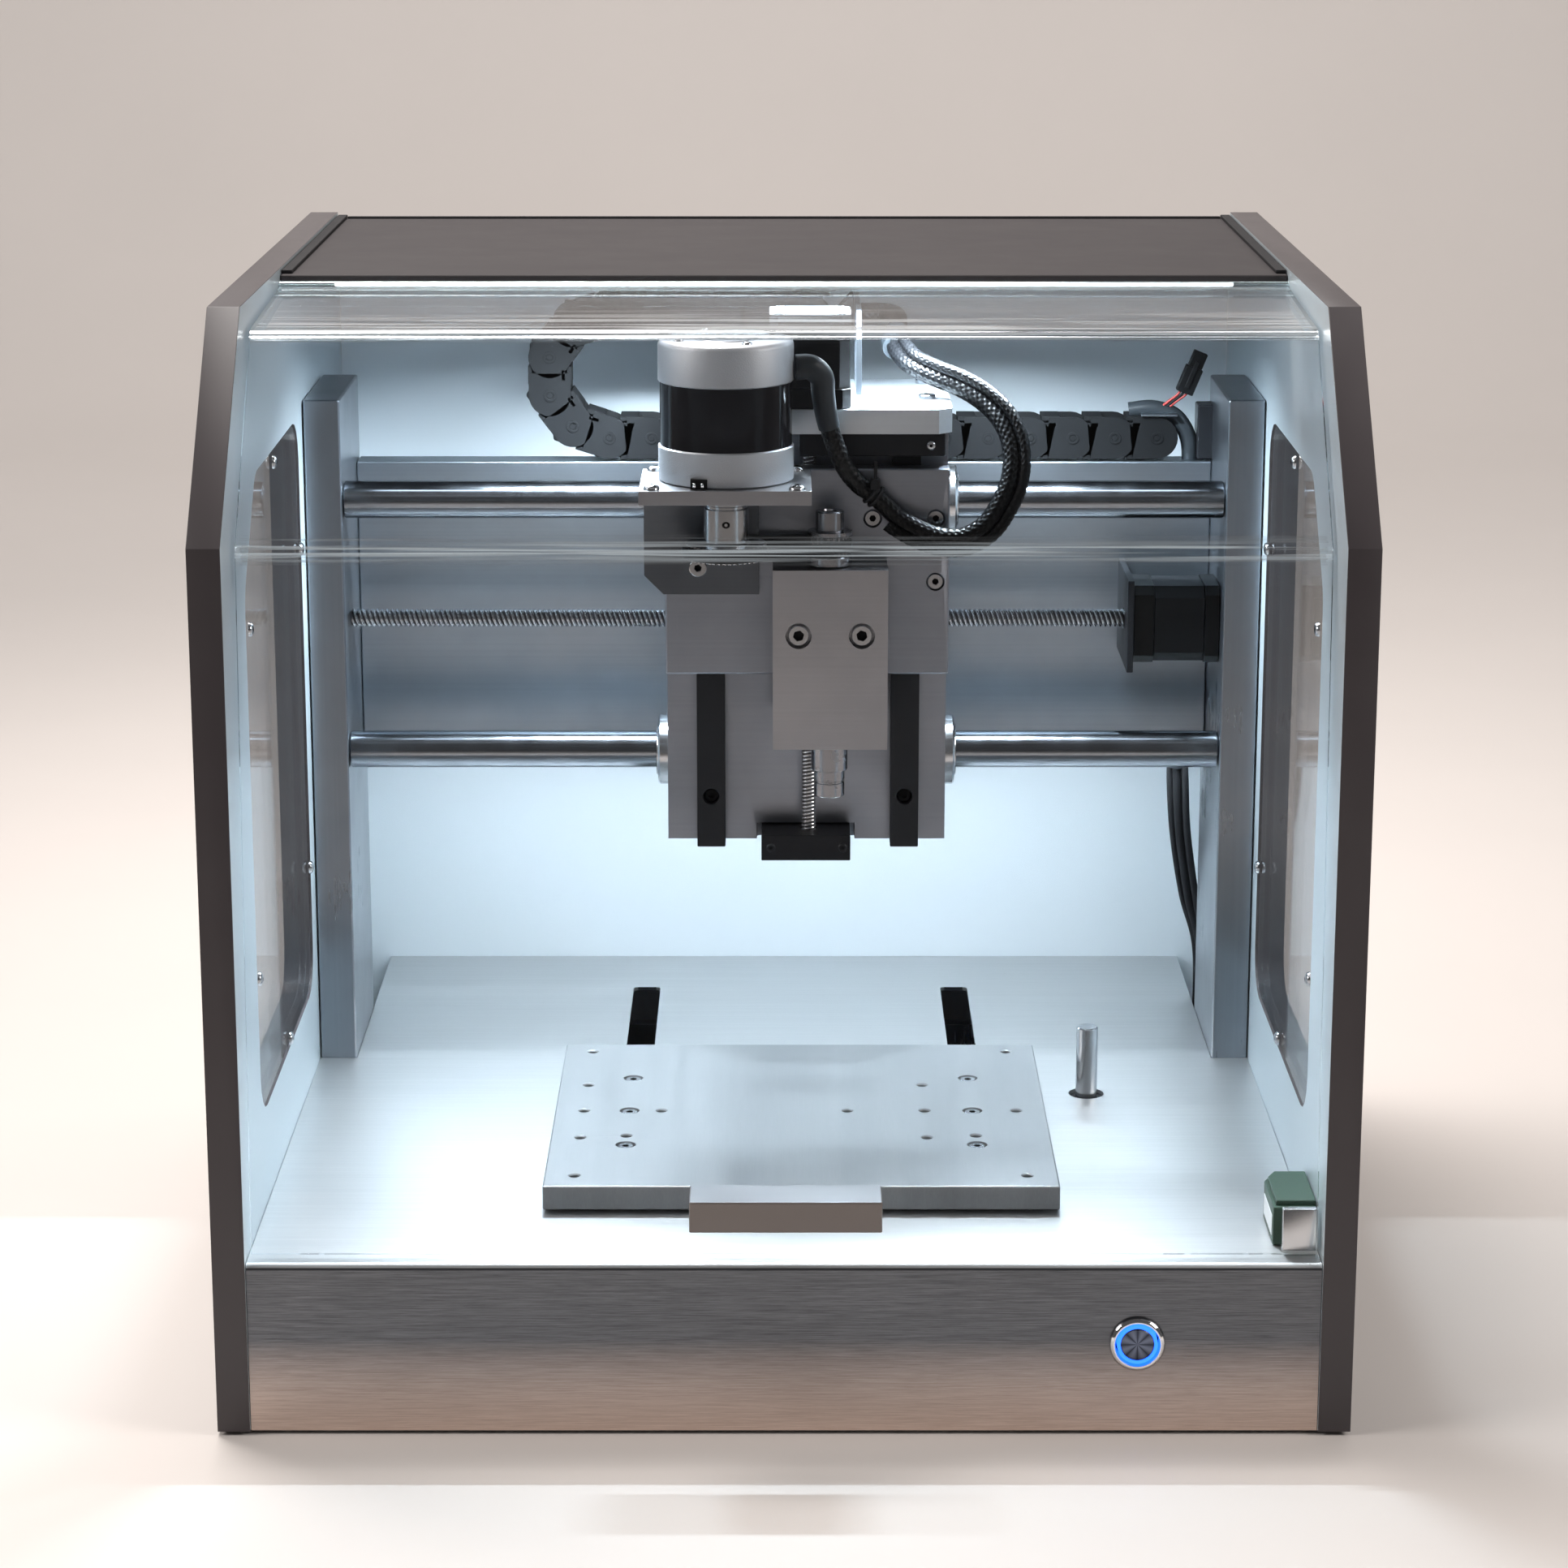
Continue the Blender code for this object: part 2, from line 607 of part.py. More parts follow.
def build_x_carriage(look):
    """Carriage block with its bearings, Z rails, top plate and Z motor."""
    slide = axis_empty("x_slide_axis", 0, SHAFT_Y, X_SCREW_Z)
    low, high = BLOCK_Z
    deep = BLOCK_Y + 60
    web = BLOCK_Y + 18
    tail = X_SCREW_Y + 13
    outline = (
        (BLOCK_Y, low), (deep, low), (deep, LOWER_SHAFT_Z + 24), (web, LOWER_SHAFT_Z + 24),
        (web, X_SCREW_Z - 16), (tail, X_SCREW_Z - 16), (tail, X_SCREW_Z + 16), (web, X_SCREW_Z + 16),
        (web, UPPER_SHAFT_Z - 24), (deep, UPPER_SHAFT_Z - 24), (deep, high), (BLOCK_Y, high),
    )
    bores = (
        circle(SHAFT_Y, LOWER_SHAFT_Z, BEARING_RADIUS + GAP),
        circle(SHAFT_Y, UPPER_SHAFT_Z, BEARING_RADIUS + GAP),
        circle(X_SCREW_Y, X_SCREW_Z, SCREW_RADIUS + GAP),
    )
    block = prism("x_carriage_block", "X", outline, BLOCK_X, look["milled"], holes=bores, parent=slide)
    foot_x = FOOT_BEARING_X
    notch = box("foot_notch_cutter", (foot_x[0] - 2.5, foot_x[1] + 2.5), (BLOCK_Y - 5, 298.6),
                (low - 10, 140.6), look["black"], bevel=0)
    combine(block, [notch])
    front, rear = FOOT_BEARING_Y
    outline = ((foot_x[0], front), (foot_x[1], front), (foot_x[1], rear), (foot_x[0], rear))
    screw_hole = circle(Z_SCREW_X, Z_SCREW_Y, Z_SCREW_RADIUS + GAP, 16)
    prism("z_foot_bearing", "Z", outline, FOOT_BEARING_Z, look["black"], holes=(screw_hole,), parent=slide)

    bore = SHAFT_RADIUS + GAP
    left = BLOCK_X[0] - GAP
    right = BLOCK_X[1] + GAP
    ring = ((bore, left - COLLAR_LENGTH), (COLLAR_RADIUS, left - COLLAR_LENGTH), (COLLAR_RADIUS, left),
            (BEARING_RADIUS, left), (BEARING_RADIUS, right), (COLLAR_RADIUS, right),
            (COLLAR_RADIUS, right + COLLAR_LENGTH), (bore, right + COLLAR_LENGTH))
    for name, z in (("upper_linear_bearing", UPPER_SHAFT_Z), ("lower_linear_bearing", LOWER_SHAFT_Z)):
        turned(name, "X", (0, SHAFT_Y, z), ring, look["silver"], slide, closed=True)

    for side, x in zip(("left", "right"), RAIL_CENTRES_X):
        box(side + "_z_rail", (x - RAIL_WIDTH / 2, x + RAIL_WIDTH / 2), RAIL_Y, RAIL_Z, look["black"],
            slide, bevel=0.8)

    outline = ((BLOCK_X[0], 274), (-16, 274), (-8, 262), (80, 262), (87, 269), (87, 372),
               (BLOCK_X[0], 372))
    prism("z_top_plate", "Z", outline, TOP_PLATE_Z, look["milled"], holes=(screw_hole,), parent=slide)
    motor_low = TOP_PLATE_Z[1] + GAP
    prism("z_motor", "Z", motor_outline(Z_SCREW_X + 0.5, Z_SCREW_Y), (motor_low, motor_low + Z_MOTOR_HEIGHT),
          look["black"], parent=slide)
    chain_top = CHAIN_LOW_Z + CHAIN_HEIGHT + 2 * CHAIN_BEND_RADIUS
    outline = ((312, motor_low), (370, motor_low), (CHAIN_Y[1], chain_top - CHAIN_HEIGHT - 4),
               (CHAIN_Y[1], chain_top), (324, chain_top), (312, chain_top - 14))
    prism("chain_end_plate", "X", outline, CHAIN_PLATE_X, look["milled"], parent=slide)
    box("chain_upper_run", (CHAIN_BEND_X + GAP, CHAIN_PLATE_X[0] - GAP), CHAIN_Y,
        (chain_top - CHAIN_HEIGHT, chain_top), look["plastic"], slide, bevel=1.5)
    return slide


def build_z_screw(look, slide):
    """The Z leadscrew, with its origin on its own axis."""
    rod("z_screw", "Z", (Z_SCREW_X, Z_SCREW_Y, 0), Z_SCREW_RADIUS, (126.3, TOP_PLATE_Z[1]),
        look["steel"], slide)


def build_chain(look):
    """The chain's lower run on the beam, and its moving bend."""
    low = CHAIN_LOW_Z
    box("chain_lower_run", (CHAIN_BEND_X + GAP, CHAIN_FIXED_X), CHAIN_Y, (low, low + CHAIN_HEIGHT),
        look["plastic"], bevel=1.5)
    centre_z = low + CHAIN_HEIGHT / 2 + CHAIN_BEND_RADIUS
    steps = 12
    outline = []
    for radius, order in ((CHAIN_BEND_RADIUS + CHAIN_HEIGHT / 2, range(steps + 1)),
                          (CHAIN_BEND_RADIUS - CHAIN_HEIGHT / 2, range(steps, -1, -1))):
        for i in order:
            angle = math.pi * (0.5 + i / steps)
            outline.append((CHAIN_BEND_X + radius * math.cos(angle), centre_z + radius * math.sin(angle)))
    bend = axis_empty("chain_roll_axis", CHAIN_BEND_X, CHAIN_Y[0], centre_z)
    prism("chain_bend", "Y", outline, CHAIN_Y, look["plastic"], parent=bend)


def build_z_carriage(look, slide):
    """Z plate with its guides, spindle block, spindle motor, bracket and belt."""
    carriage = axis_empty("z_slide_axis", Z_SCREW_X, Z_SCREW_Y, 0)
    carriage.parent = slide
    carriage.matrix_parent_inverse = Matrix.Translation(-slide.location)
    box("z_plate", BLOCK_X, PLATE_Y, PLATE_Z, look["milled"], carriage, bevel=0.8)
    for side, x in zip(("left", "right"), RAIL_CENTRES_X):
        outer = GUIDE_HALF_WIDTH
        inner = RAIL_WIDTH / 2 + GAP
        front = PLATE_Y[1] + GAP
        floor = RAIL_Y[0] - GAP
        rear = RAIL_Y[1] - 2
        outline = ((x - outer, front), (x + outer, front), (x + outer, rear), (x + inner, rear),
                   (x + inner, floor), (x - inner, floor), (x - inner, rear), (x - outer, rear))
        prism(side + "_z_guide", "Z", outline, GUIDE_Z, look["steel"], parent=carriage)

    x_low, x_high = SPINDLE_BLOCK_X
    y_low, y_high = PLATE_Y[0] - SPINDLE_BLOCK_DEPTH, PLATE_Y[0] - GAP
    outline = ((x_low, y_low), (x_high, y_low), (x_high, y_high), (x_low, y_high))
    bore = circle(SPINDLE_X, SPINDLE_Y, SPINDLE_BORE_RADIUS)
    block = prism("spindle_block", "Z", outline, SPINDLE_BLOCK_Z, look["milled"], holes=(bore,),
                  parent=carriage)
    add_bevel(block, 0.4)

    outline = ((FLANGE_X[0], FLANGE_Y[0]), (FLANGE_X[1], FLANGE_Y[0]), (FLANGE_X[1], FLANGE_Y[1]),
               (FLANGE_X[0], FLANGE_Y[1]))
    hub_hole = circle(SPINDLE_MOTOR_X, SPINDLE_MOTOR_Y, HUB_HOLE_RADIUS)
    bracket = prism("motor_bracket", "Z", outline, FLANGE_Z, look["milled"], holes=(hub_hole,),
                    parent=carriage)
    outline = ((-72.6, 282), (-62.6, 272), (-13, 272), (-13, FLANGE_Z[0] + 3), (-72.6, FLANGE_Z[0] + 3))
    web = prism("bracket_web", "Y", outline, (BRACKET_WEB_Y, FLANGE_Y[1]), look["milled"], parent=carriage)
    combine(bracket, [web], "UNION")

    wide = SPINDLE_MOTOR_RADIUS
    profile = ((0, 337.5), (wide, 337.5), (wide, 355.2), (wide - 0.8, 355.8), (wide - 0.8, 387),
               (wide, 387.6), (wide, 407.6), (wide - 1.4, 409), (0, 409))
    turned("spindle_motor", "Z", (SPINDLE_MOTOR_X, SPINDLE_MOTOR_Y, 0), profile, look["silver"],
           carriage, sides=32)
    centres = ((SPINDLE_MOTOR_X, SPINDLE_MOTOR_Y), (SPINDLE_X, SPINDLE_Y))
    inner = belt_outline(centres[0], BIG_PULLEY_RADIUS + GAP, centres[1], SMALL_PULLEY_RADIUS + GAP)
    outer = belt_outline(centres[0], BIG_PULLEY_RADIUS + GAP + BELT_THICKNESS,
                         centres[1], SMALL_PULLEY_RADIUS + GAP + BELT_THICKNESS)
    prism("drive_belt", "Z", outer, BELT_Z, look["rubber"], holes=(inner,), parent=carriage)
    tube("spindle_cable", CABLE_ROUTE, CABLE_RADIUS, look["braid"], carriage)
    return carriage


def build_spindle(look, carriage):
    """The spindle with its collet nose and pulley, and the motor's pulley."""
    edge = SMALL_PULLEY_RADIUS
    profile = ((0, 167), (8, 167), (8, 181), (9.5, 181), (9.5, 194.4), (7.9, 194.4), (7.9, 289.8),
               (edge + 2, 289.8), (edge + 2, 295), (edge, 296), (edge, 304.5), (edge + 2, 305.5),
               (edge + 2, 308), (7.5, 309), (7.5, 318), (0, 318))
    turned("spindle", "Z", (SPINDLE_X, SPINDLE_Y, 0), profile, look["steel"], carriage)
    profile = ((0, 296), (BIG_PULLEY_RADIUS, 296), (BIG_PULLEY_RADIUS, 304), (11.5, 305), (11.5, 337.2),
               (0, 337.2))
    turned("motor_pulley", "Z", (SPINDLE_MOTOR_X, SPINDLE_MOTOR_Y, 0), profile, look["steel"], carriage)


def build_table(look):
    """Worktable on its saddle, and the Y shafts, screw and motor under the deck."""
    slide = axis_empty("y_slide_axis", Y_DRIVE_X, TABLE_Y[0], Y_DRIVE_Z)
    box("worktable", TABLE_X, TABLE_Y, TABLE_Z, look["brushed"], slide, bevel=0.6)
    left, right = SADDLE_X
    under, over = SADDLE_Z
    outline = ((left, under), (right, under), (right, over), (left, over))
    holes = [circle(x, Y_DRIVE_Z, Y_SHAFT_RADIUS + GAP) for x in Y_SHAFT_CENTRES_X]
    holes.append(circle(Y_DRIVE_X, Y_DRIVE_Z, SCREW_RADIUS + GAP))
    saddle = prism("y_saddle", "Y", outline, SADDLE_Y, look["milled"], holes=holes, parent=slide)
    posts = [box(f"saddle_post_{i}", (x - POST_WIDTH / 2, x + POST_WIDTH / 2), POST_Y, (over - 4, TABLE_Z[0] - GAP),
                 look["milled"], slide, bevel=0) for i, x in enumerate(SLOT_CENTRES_X)]
    combine(saddle, posts, "UNION")

    low = BASE_Z + BASE_THICKNESS + GAP
    box("y_front_block", SADDLE_X, FRONT_BLOCK_Y, (low, END_BLOCK_TOP_Z), look["milled"], bevel=0)
    box("y_rear_block", SADDLE_X, REAR_BLOCK_Y, (low, END_BLOCK_TOP_Z), look["milled"], bevel=0)
    span = (FRONT_BLOCK_Y[1] + GAP, REAR_BLOCK_Y[0] - GAP)
    for side, x in zip(("left", "right"), Y_SHAFT_CENTRES_X):
        rod(side + "_y_shaft", "Y", (x, 0, Y_DRIVE_Z), Y_SHAFT_RADIUS, span, look["steel"])
    rod("y_screw", "Y", (Y_DRIVE_X, 0, Y_DRIVE_Z), SCREW_RADIUS, span, look["steel"])
    rear = FRONT_BLOCK_Y[0] - GAP
    prism("y_motor", "Y", motor_outline(Y_DRIVE_X, Y_DRIVE_Z), (rear - Y_MOTOR_LENGTH, rear), look["black"])


def build_controls(look):
    """Power button, tool setter and interlock switch."""
    ring = ((10.0, -2.4), (10.6, -3.0), (12.2, -2.8), (13.4, -1.4), (13.4, -GAP), (10.8, -GAP),
            (10.8, 18), (10.0, 18))
    turned("button_bezel", "Y", (BUTTON_X, 0, BUTTON_Z), ring, look["steel"], closed=True)
    press = axis_empty("button_axis", BUTTON_X, 0, BUTTON_Z)
    profile = ((0, -2.0), (9.0, -2.0), (9.6, -1.4), (9.6, 6), (0, 6))
    turned("button_cap", "Y", (BUTTON_X, 0, BUTTON_Z), profile, look["steel"], press)

    bore = PIN_RADIUS + GAP
    cup = ((0, -58), (14, -58), (14, -SHEET - GAP), (bore, -SHEET - GAP), (bore, -46), (0, -46))
    turned("setter_body", "Z", (SETTER_X, SETTER_Y, 0), cup, look["black"])
    press = axis_empty("setter_axis", SETTER_X, SETTER_Y, 0)
    profile = ((0, -38), (PIN_RADIUS, -38), (PIN_RADIUS, 36.9), (PIN_RADIUS - 0.6, 37.5), (0, 37.5))
    turned("setter_pin", "Z", (SETTER_X, SETTER_Y, 0), profile, look["steel"], press)
    box("interlock_switch", (INTERLOCK_X, PANEL_INNER_X - GAP), INTERLOCK_Y, (GAP, INTERLOCK_TOP_Z),
        look["green"], bevel=0.8)


def main():
    for old in list(bpy.data.objects):
        bpy.data.objects.remove(old)
    look = finishes()
    build_base(look)
    build_side_panels(look)
    build_deck(look)
    build_covers(look)
    build_door(look)
    build_gantry(look)
    build_x_screw(look)
    slide = build_x_carriage(look)
    build_z_screw(look, slide)
    build_chain(look)
    carriage = build_z_carriage(look, slide)
    build_spindle(look, carriage)
    build_table(look)
    build_controls(look)


main()
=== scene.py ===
"""Looks of the desktop CNC mill: surfaces, fasteners, chain, cables, light and camera.

Lengths in the tables below are millimetres in the machine's own coordinates: X from the plane of
symmetry, Y from the front panel's face, Z from the deck's top face. at() turns them into metres.
"""
import json
import math

import bmesh
import bpy
from mathutils import Matrix, Vector, geometry

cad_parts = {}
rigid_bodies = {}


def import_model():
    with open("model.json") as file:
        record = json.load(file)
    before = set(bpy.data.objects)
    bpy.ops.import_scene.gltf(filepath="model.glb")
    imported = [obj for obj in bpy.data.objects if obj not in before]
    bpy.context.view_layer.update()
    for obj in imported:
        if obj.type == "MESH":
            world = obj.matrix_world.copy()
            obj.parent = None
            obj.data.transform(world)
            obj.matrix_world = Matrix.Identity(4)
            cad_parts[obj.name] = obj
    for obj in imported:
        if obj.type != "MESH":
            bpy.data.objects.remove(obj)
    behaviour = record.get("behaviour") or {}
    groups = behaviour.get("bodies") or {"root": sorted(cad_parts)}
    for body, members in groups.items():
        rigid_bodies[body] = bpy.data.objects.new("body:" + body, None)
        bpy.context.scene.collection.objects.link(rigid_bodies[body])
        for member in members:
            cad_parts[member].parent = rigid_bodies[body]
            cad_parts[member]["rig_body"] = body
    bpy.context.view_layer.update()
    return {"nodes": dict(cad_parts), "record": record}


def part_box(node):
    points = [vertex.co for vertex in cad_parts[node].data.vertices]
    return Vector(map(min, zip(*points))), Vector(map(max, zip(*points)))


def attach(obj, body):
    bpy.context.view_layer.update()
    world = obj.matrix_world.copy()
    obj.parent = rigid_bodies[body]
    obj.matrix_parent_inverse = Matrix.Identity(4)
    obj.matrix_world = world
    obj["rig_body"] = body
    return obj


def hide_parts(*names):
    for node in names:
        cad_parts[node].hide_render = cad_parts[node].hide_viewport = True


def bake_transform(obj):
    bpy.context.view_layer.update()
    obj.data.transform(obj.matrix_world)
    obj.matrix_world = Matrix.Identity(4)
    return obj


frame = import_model()

MM = 0.001
DECK_LOW, DECK_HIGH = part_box("deck_pan")
TURN = 2 * math.pi


def at(x, y, z):
    """Machine millimetres to the row frame's metres."""
    return Vector((x * MM, DECK_LOW.y + y * MM, DECK_HIGH.z + z * MM))


def span(node):
    """A CAD node's lowest and highest corner, in machine millimetres."""
    low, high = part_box(node)
    shift = at(0, 0, 0)
    return (low - shift) / MM, (high - shift) / MM


# ---------------------------------------------------------------- materials

class Shader:
    """A Principled material with short calls for the nodes that feed it."""

    def __init__(self, name, color, metallic=0.0, roughness=0.5, **constants):
        self.made = bpy.data.materials.new(name)
        self.made.use_nodes = True
        self.nodes = self.made.node_tree.nodes
        self.links = self.made.node_tree.links
        self.out = self.nodes["Principled BSDF"]
        self.color = color
        self.out.inputs["Base Color"].default_value = (*color, 1.0)
        self.out.inputs["Metallic"].default_value = metallic
        self.out.inputs["Roughness"].default_value = roughness
        for key, value in constants.items():
            self.out.inputs[key.replace("_", " ").title()].default_value = value
        self.coords = self.nodes.new("ShaderNodeTexCoord").outputs["Object"]

    def link(self, source, target):
        self.links.new(source, target)
        return self

    def stretched(self, scale, turn=(0, 0, 0)):
        """Object coordinates scaled per axis, in steps per metre."""
        mapping = self.nodes.new("ShaderNodeMapping")
        mapping.inputs["Rotation"].default_value = turn
        mapping.inputs["Scale"].default_value = scale
        self.link(self.coords, mapping.inputs["Vector"])
        return mapping.outputs["Vector"]

    def noise(self, scale, detail=3.0, rough=0.55, turn=(0, 0, 0)):
        """Noise with its own scale on each axis."""
        if not hasattr(scale, "__len__"):
            scale = (scale, scale, scale)
        node = self.nodes.new("ShaderNodeTexNoise")
        node.inputs["Scale"].default_value = 1.0
        node.inputs["Detail"].default_value = detail
        node.inputs["Roughness"].default_value = rough
        self.link(self.stretched(scale, turn), node.inputs["Vector"])
        return node.outputs["Fac"]

    def ramp(self, source, low, high, out_low=0.0, out_high=1.0):
        """Source from low..high to out_low..out_high, held at the ends."""
        node = self.nodes.new("ShaderNodeMapRange")
        node.inputs["From Min"].default_value = low
        node.inputs["From Max"].default_value = high
        node.inputs["To Min"].default_value = out_low
        node.inputs["To Max"].default_value = out_high
        self.link(source, node.inputs["Value"])
        return node.outputs["Result"]

    def math(self, operation, first, second=None):
        node = self.nodes.new("ShaderNodeMath")
        node.operation = operation
        for value, socket in zip((first, second), node.inputs):
            if value is None:
                continue
            if isinstance(value, (int, float)):
                socket.default_value = value
            else:
                self.link(value, socket)
        return node.outputs["Value"]

    def mix(self, share, first, second):
        """Between two colours or colour sockets."""
        node = self.nodes.new("ShaderNodeMix")
        node.data_type = "RGBA"
        self.link(share, node.inputs["Factor"])
        for value, socket in ((first, node.inputs[6]), (second, node.inputs[7])):
            if isinstance(value, tuple):
                socket.default_value = (*value, 1.0)
            else:
                self.link(value, socket)
        return node.outputs[2]

    def shade(self, share, low, high):
        """The base colour varied between low and high times itself."""
        dark = tuple(c * low for c in self.color)
        light = tuple(min(c * high, 1.0) for c in self.color)
        self.link(self.mix(share, dark, light), self.out.inputs["Base Color"])
        return self

    def rough(self, share):
        return self.link(share, self.out.inputs["Roughness"])

    def bump(self, source, depth):
        """Relief of that depth in metres."""
        node = self.nodes.new("ShaderNodeBump")
        node.inputs["Distance"].default_value = depth
        node.inputs["Strength"].default_value = 1.0
        self.link(source, node.inputs["Height"])
        return self.link(node.outputs["Normal"], self.out.inputs["Normal"])


def brushed(name, color, roughness, along="X"):
    """Long fine lines along one axis over faint cloudy patches."""
    fine, long = 2600.0, 26.0
    scale = [fine, fine, fine]
    scale["XYZ".index(along)] = long
    m = Shader(name, color, 1.0, roughness)
    lines = m.noise(scale, 4.0, 0.7)
    streaks = m.noise([s / 6 for s in scale], 3.0, 0.6)
    both = m.math("ADD", m.math("MULTIPLY", lines, 0.6), m.math("MULTIPLY", streaks, 0.4))
    m.shade(m.ramp(both, 0.35, 0.65), 0.92, 1.05)
    m.rough(m.ramp(both, 0.3, 0.7, roughness - 0.04, roughness + 0.07))
    m.bump(both, 0.000008)
    return m.made


def front_sheet():
    """The upright part of the brushed sheet: short horizontal streaks, and a painted reflection of the floor
    in its colour, warm and light low down and darker towards its upper bend.
    """
    m = Shader("front_sheet_painted_reflection_finish", (0.5, 0.47, 0.46), 1.0, 0.34)
    place = m.nodes.new("ShaderNodeSeparateXYZ")
    m.link(m.coords, place.inputs[0])
    # painted reflection: the height mask blends the warm light colours low on the sheet into the dark ones
    # near the bend
    height = m.ramp(place.outputs["Z"], at(0, 0, -86).z, at(0, 0, -38).z)
    streaks = m.noise((45.0, 900.0, 2400.0), 4.0, 0.75)
    grain = m.ramp(streaks, 0.35, 0.65)
    low = m.mix(grain, (0.66, 0.52, 0.45), (0.84, 0.69, 0.61))
    high = m.mix(grain, (0.1, 0.105, 0.115), (0.17, 0.175, 0.19))
    m.link(m.mix(height, low, high), m.out.inputs["Base Color"])
    m.rough(m.ramp(streaks, 0.35, 0.65, 0.42, 0.3))
    m.bump(streaks, 0.000008)
    return m.made


def milled(name, color, roughness, along="Z"):
    """Drawn or milled aluminium: faint drawing lines, soft cloudy patches and a few hairline scratches."""
    m = Shader(name, color, 1.0, roughness)
    scale = [650.0, 650.0, 650.0]
    scale["XYZ".index(along)] = 4.0
    lines = m.noise(scale, 2.0, 0.5)
    clouds = m.noise(15.0, 4.0, 0.55)
    hairs = m.noise((1500.0, 1500.0, 22.0), 1.0, 0.4, (0.5, 0.7, 0.2))
    other = m.noise((20.0, 1400.0, 1300.0), 1.0, 0.4, (0.3, -0.4, 0.6))
    scratch = m.ramp(m.math("MAXIMUM", hairs, other), 0.74, 0.8)
    body = m.math("ADD", m.math("MULTIPLY", clouds, 0.8), m.math("MULTIPLY", lines, 0.2))
    m.shade(m.math("ADD", m.ramp(body, 0.38, 0.64), m.math("MULTIPLY", scratch, 0.2)), 0.91, 1.07)
    m.rough(m.ramp(body, 0.35, 0.65, roughness + 0.04, roughness - 0.03))
    m.bump(lines, 0.000002)
    return m.made


def grainy(name, color, metallic, roughness, scale, depth, spread=0.08):
    """A surface with an even fine grain, such as paint, moulded plastic or bead blasting."""
    m = Shader(name, color, metallic, roughness)
    if max(color) < 0.05:
        m.out.inputs["Specular IOR Level"].default_value = 0.2
    grain = m.noise(scale, 2.0, 0.5)
    wide = m.noise(18.0, 3.0, 0.5)
    m.shade(wide, 1 - spread, 1 + spread)
    m.rough(m.ramp(wide, 0.3, 0.7, roughness - 0.04, roughness + 0.05))
    m.bump(grain, depth)
    return m.made


def polished(name, color, roughness):
    """Turned or ground steel with faint running marks."""
    m = Shader(name, color, 1.0, roughness)
    marks = m.noise(90.0, 2.0, 0.5)
    m.shade(m.noise(40.0, 2.0), 0.95, 1.04)
    m.rough(m.ramp(marks, 0.3, 0.7, roughness * 0.85, roughness * 1.2))
    return m.made


def side_panel_finish():
    """Dark satin coating outside and on the edges, bright satin metal on the face that looks in."""
    m = Shader("side_panel_finish", (0.052, 0.044, 0.047), 0.0, 0.42)
    normal = m.nodes.new("ShaderNodeNewGeometry").outputs["True Normal"]
    split = m.nodes.new("ShaderNodeSeparateXYZ")
    place = m.nodes.new("ShaderNodeSeparateXYZ")
    m.link(normal, split.inputs[0]).link(m.coords, place.inputs[0])
    side = m.math("SIGN", place.outputs["X"])
    inward = m.math("MULTIPLY", split.outputs["X"], m.math("MULTIPLY", side, -1.0))
    inside = m.math("GREATER_THAN", inward, 0.9)
    clouds = m.noise(14.0, 3.0, 0.5)
    coat = m.mix(clouds, (0.046, 0.038, 0.042), (0.06, 0.052, 0.055))
    bright = m.mix(clouds, (0.5, 0.57, 0.61), (0.6, 0.67, 0.71))
    m.link(m.mix(inside, coat, bright), m.out.inputs["Base Color"])
    m.link(m.math("MULTIPLY", inside, 0.45), m.out.inputs["Metallic"])
    m.rough(m.math("SUBTRACT", m.ramp(clouds, 0.3, 0.7, 0.4, 0.48), m.math("MULTIPLY", inside, 0.1)))
    m.bump(m.noise(2200.0, 2.0), 0.00002)
    return m.made


def clear_sheet(name, tint, low, high, painted_glints=()):
    """Clear plastic as a thin mirror: nearly nothing face on, strong at a grazing look.

    The glint entries are heights in millimetres where the sheet is bent; bright wavy lines are painted there
    as a highlight, in opacity and in a glow, though the sheet is no lamp.
    """
    m = Shader(name, tint, 1.0, 0.04)
    facing = m.nodes.new("ShaderNodeLayerWeight")
    facing.inputs["Blend"].default_value = 0.33
    haze = m.noise(7.0, 3.0, 0.6)
    alpha = m.math("ADD", m.ramp(facing.outputs["Fresnel"], 0.04, 0.9, low, high),
                   m.ramp(haze, 0.5, 0.8, 0.0, 0.006))
    place = m.nodes.new("ShaderNodeSeparateXYZ")
    m.link(m.coords, place.inputs[0])
    # painted highlight: along each bend the opacity is raised and a glow is emitted in wavy lines, standing
    # in for reflections
    glow = m.math("MULTIPLY", haze, 0.0)
    for z, reach, share in painted_glints:
        off = m.math("ABSOLUTE", m.math("SUBTRACT", place.outputs["Z"], at(0, 0, z).z))
        band = m.ramp(off, 0.2 * reach * MM, reach * MM, share, 0.0)
        painted_glint_waves = m.ramp(m.noise((7.0, 200.0, 900.0), 2.0, 0.5), 0.47, 0.6, 0.0, 1.0)
        painted_glint = m.math("MULTIPLY", band, painted_glint_waves)
        alpha = m.math("ADD", alpha, painted_glint)
        glow = m.math("ADD", glow, m.math("MULTIPLY", painted_glint, 0.45))
    m.out.inputs["Emission Color"].default_value = (0.8, 0.9, 0.95, 1.0)
    m.link(glow, m.out.inputs["Emission Strength"])
    m.link(m.math("MINIMUM", alpha, 1.0), m.out.inputs["Alpha"])
    return m.made


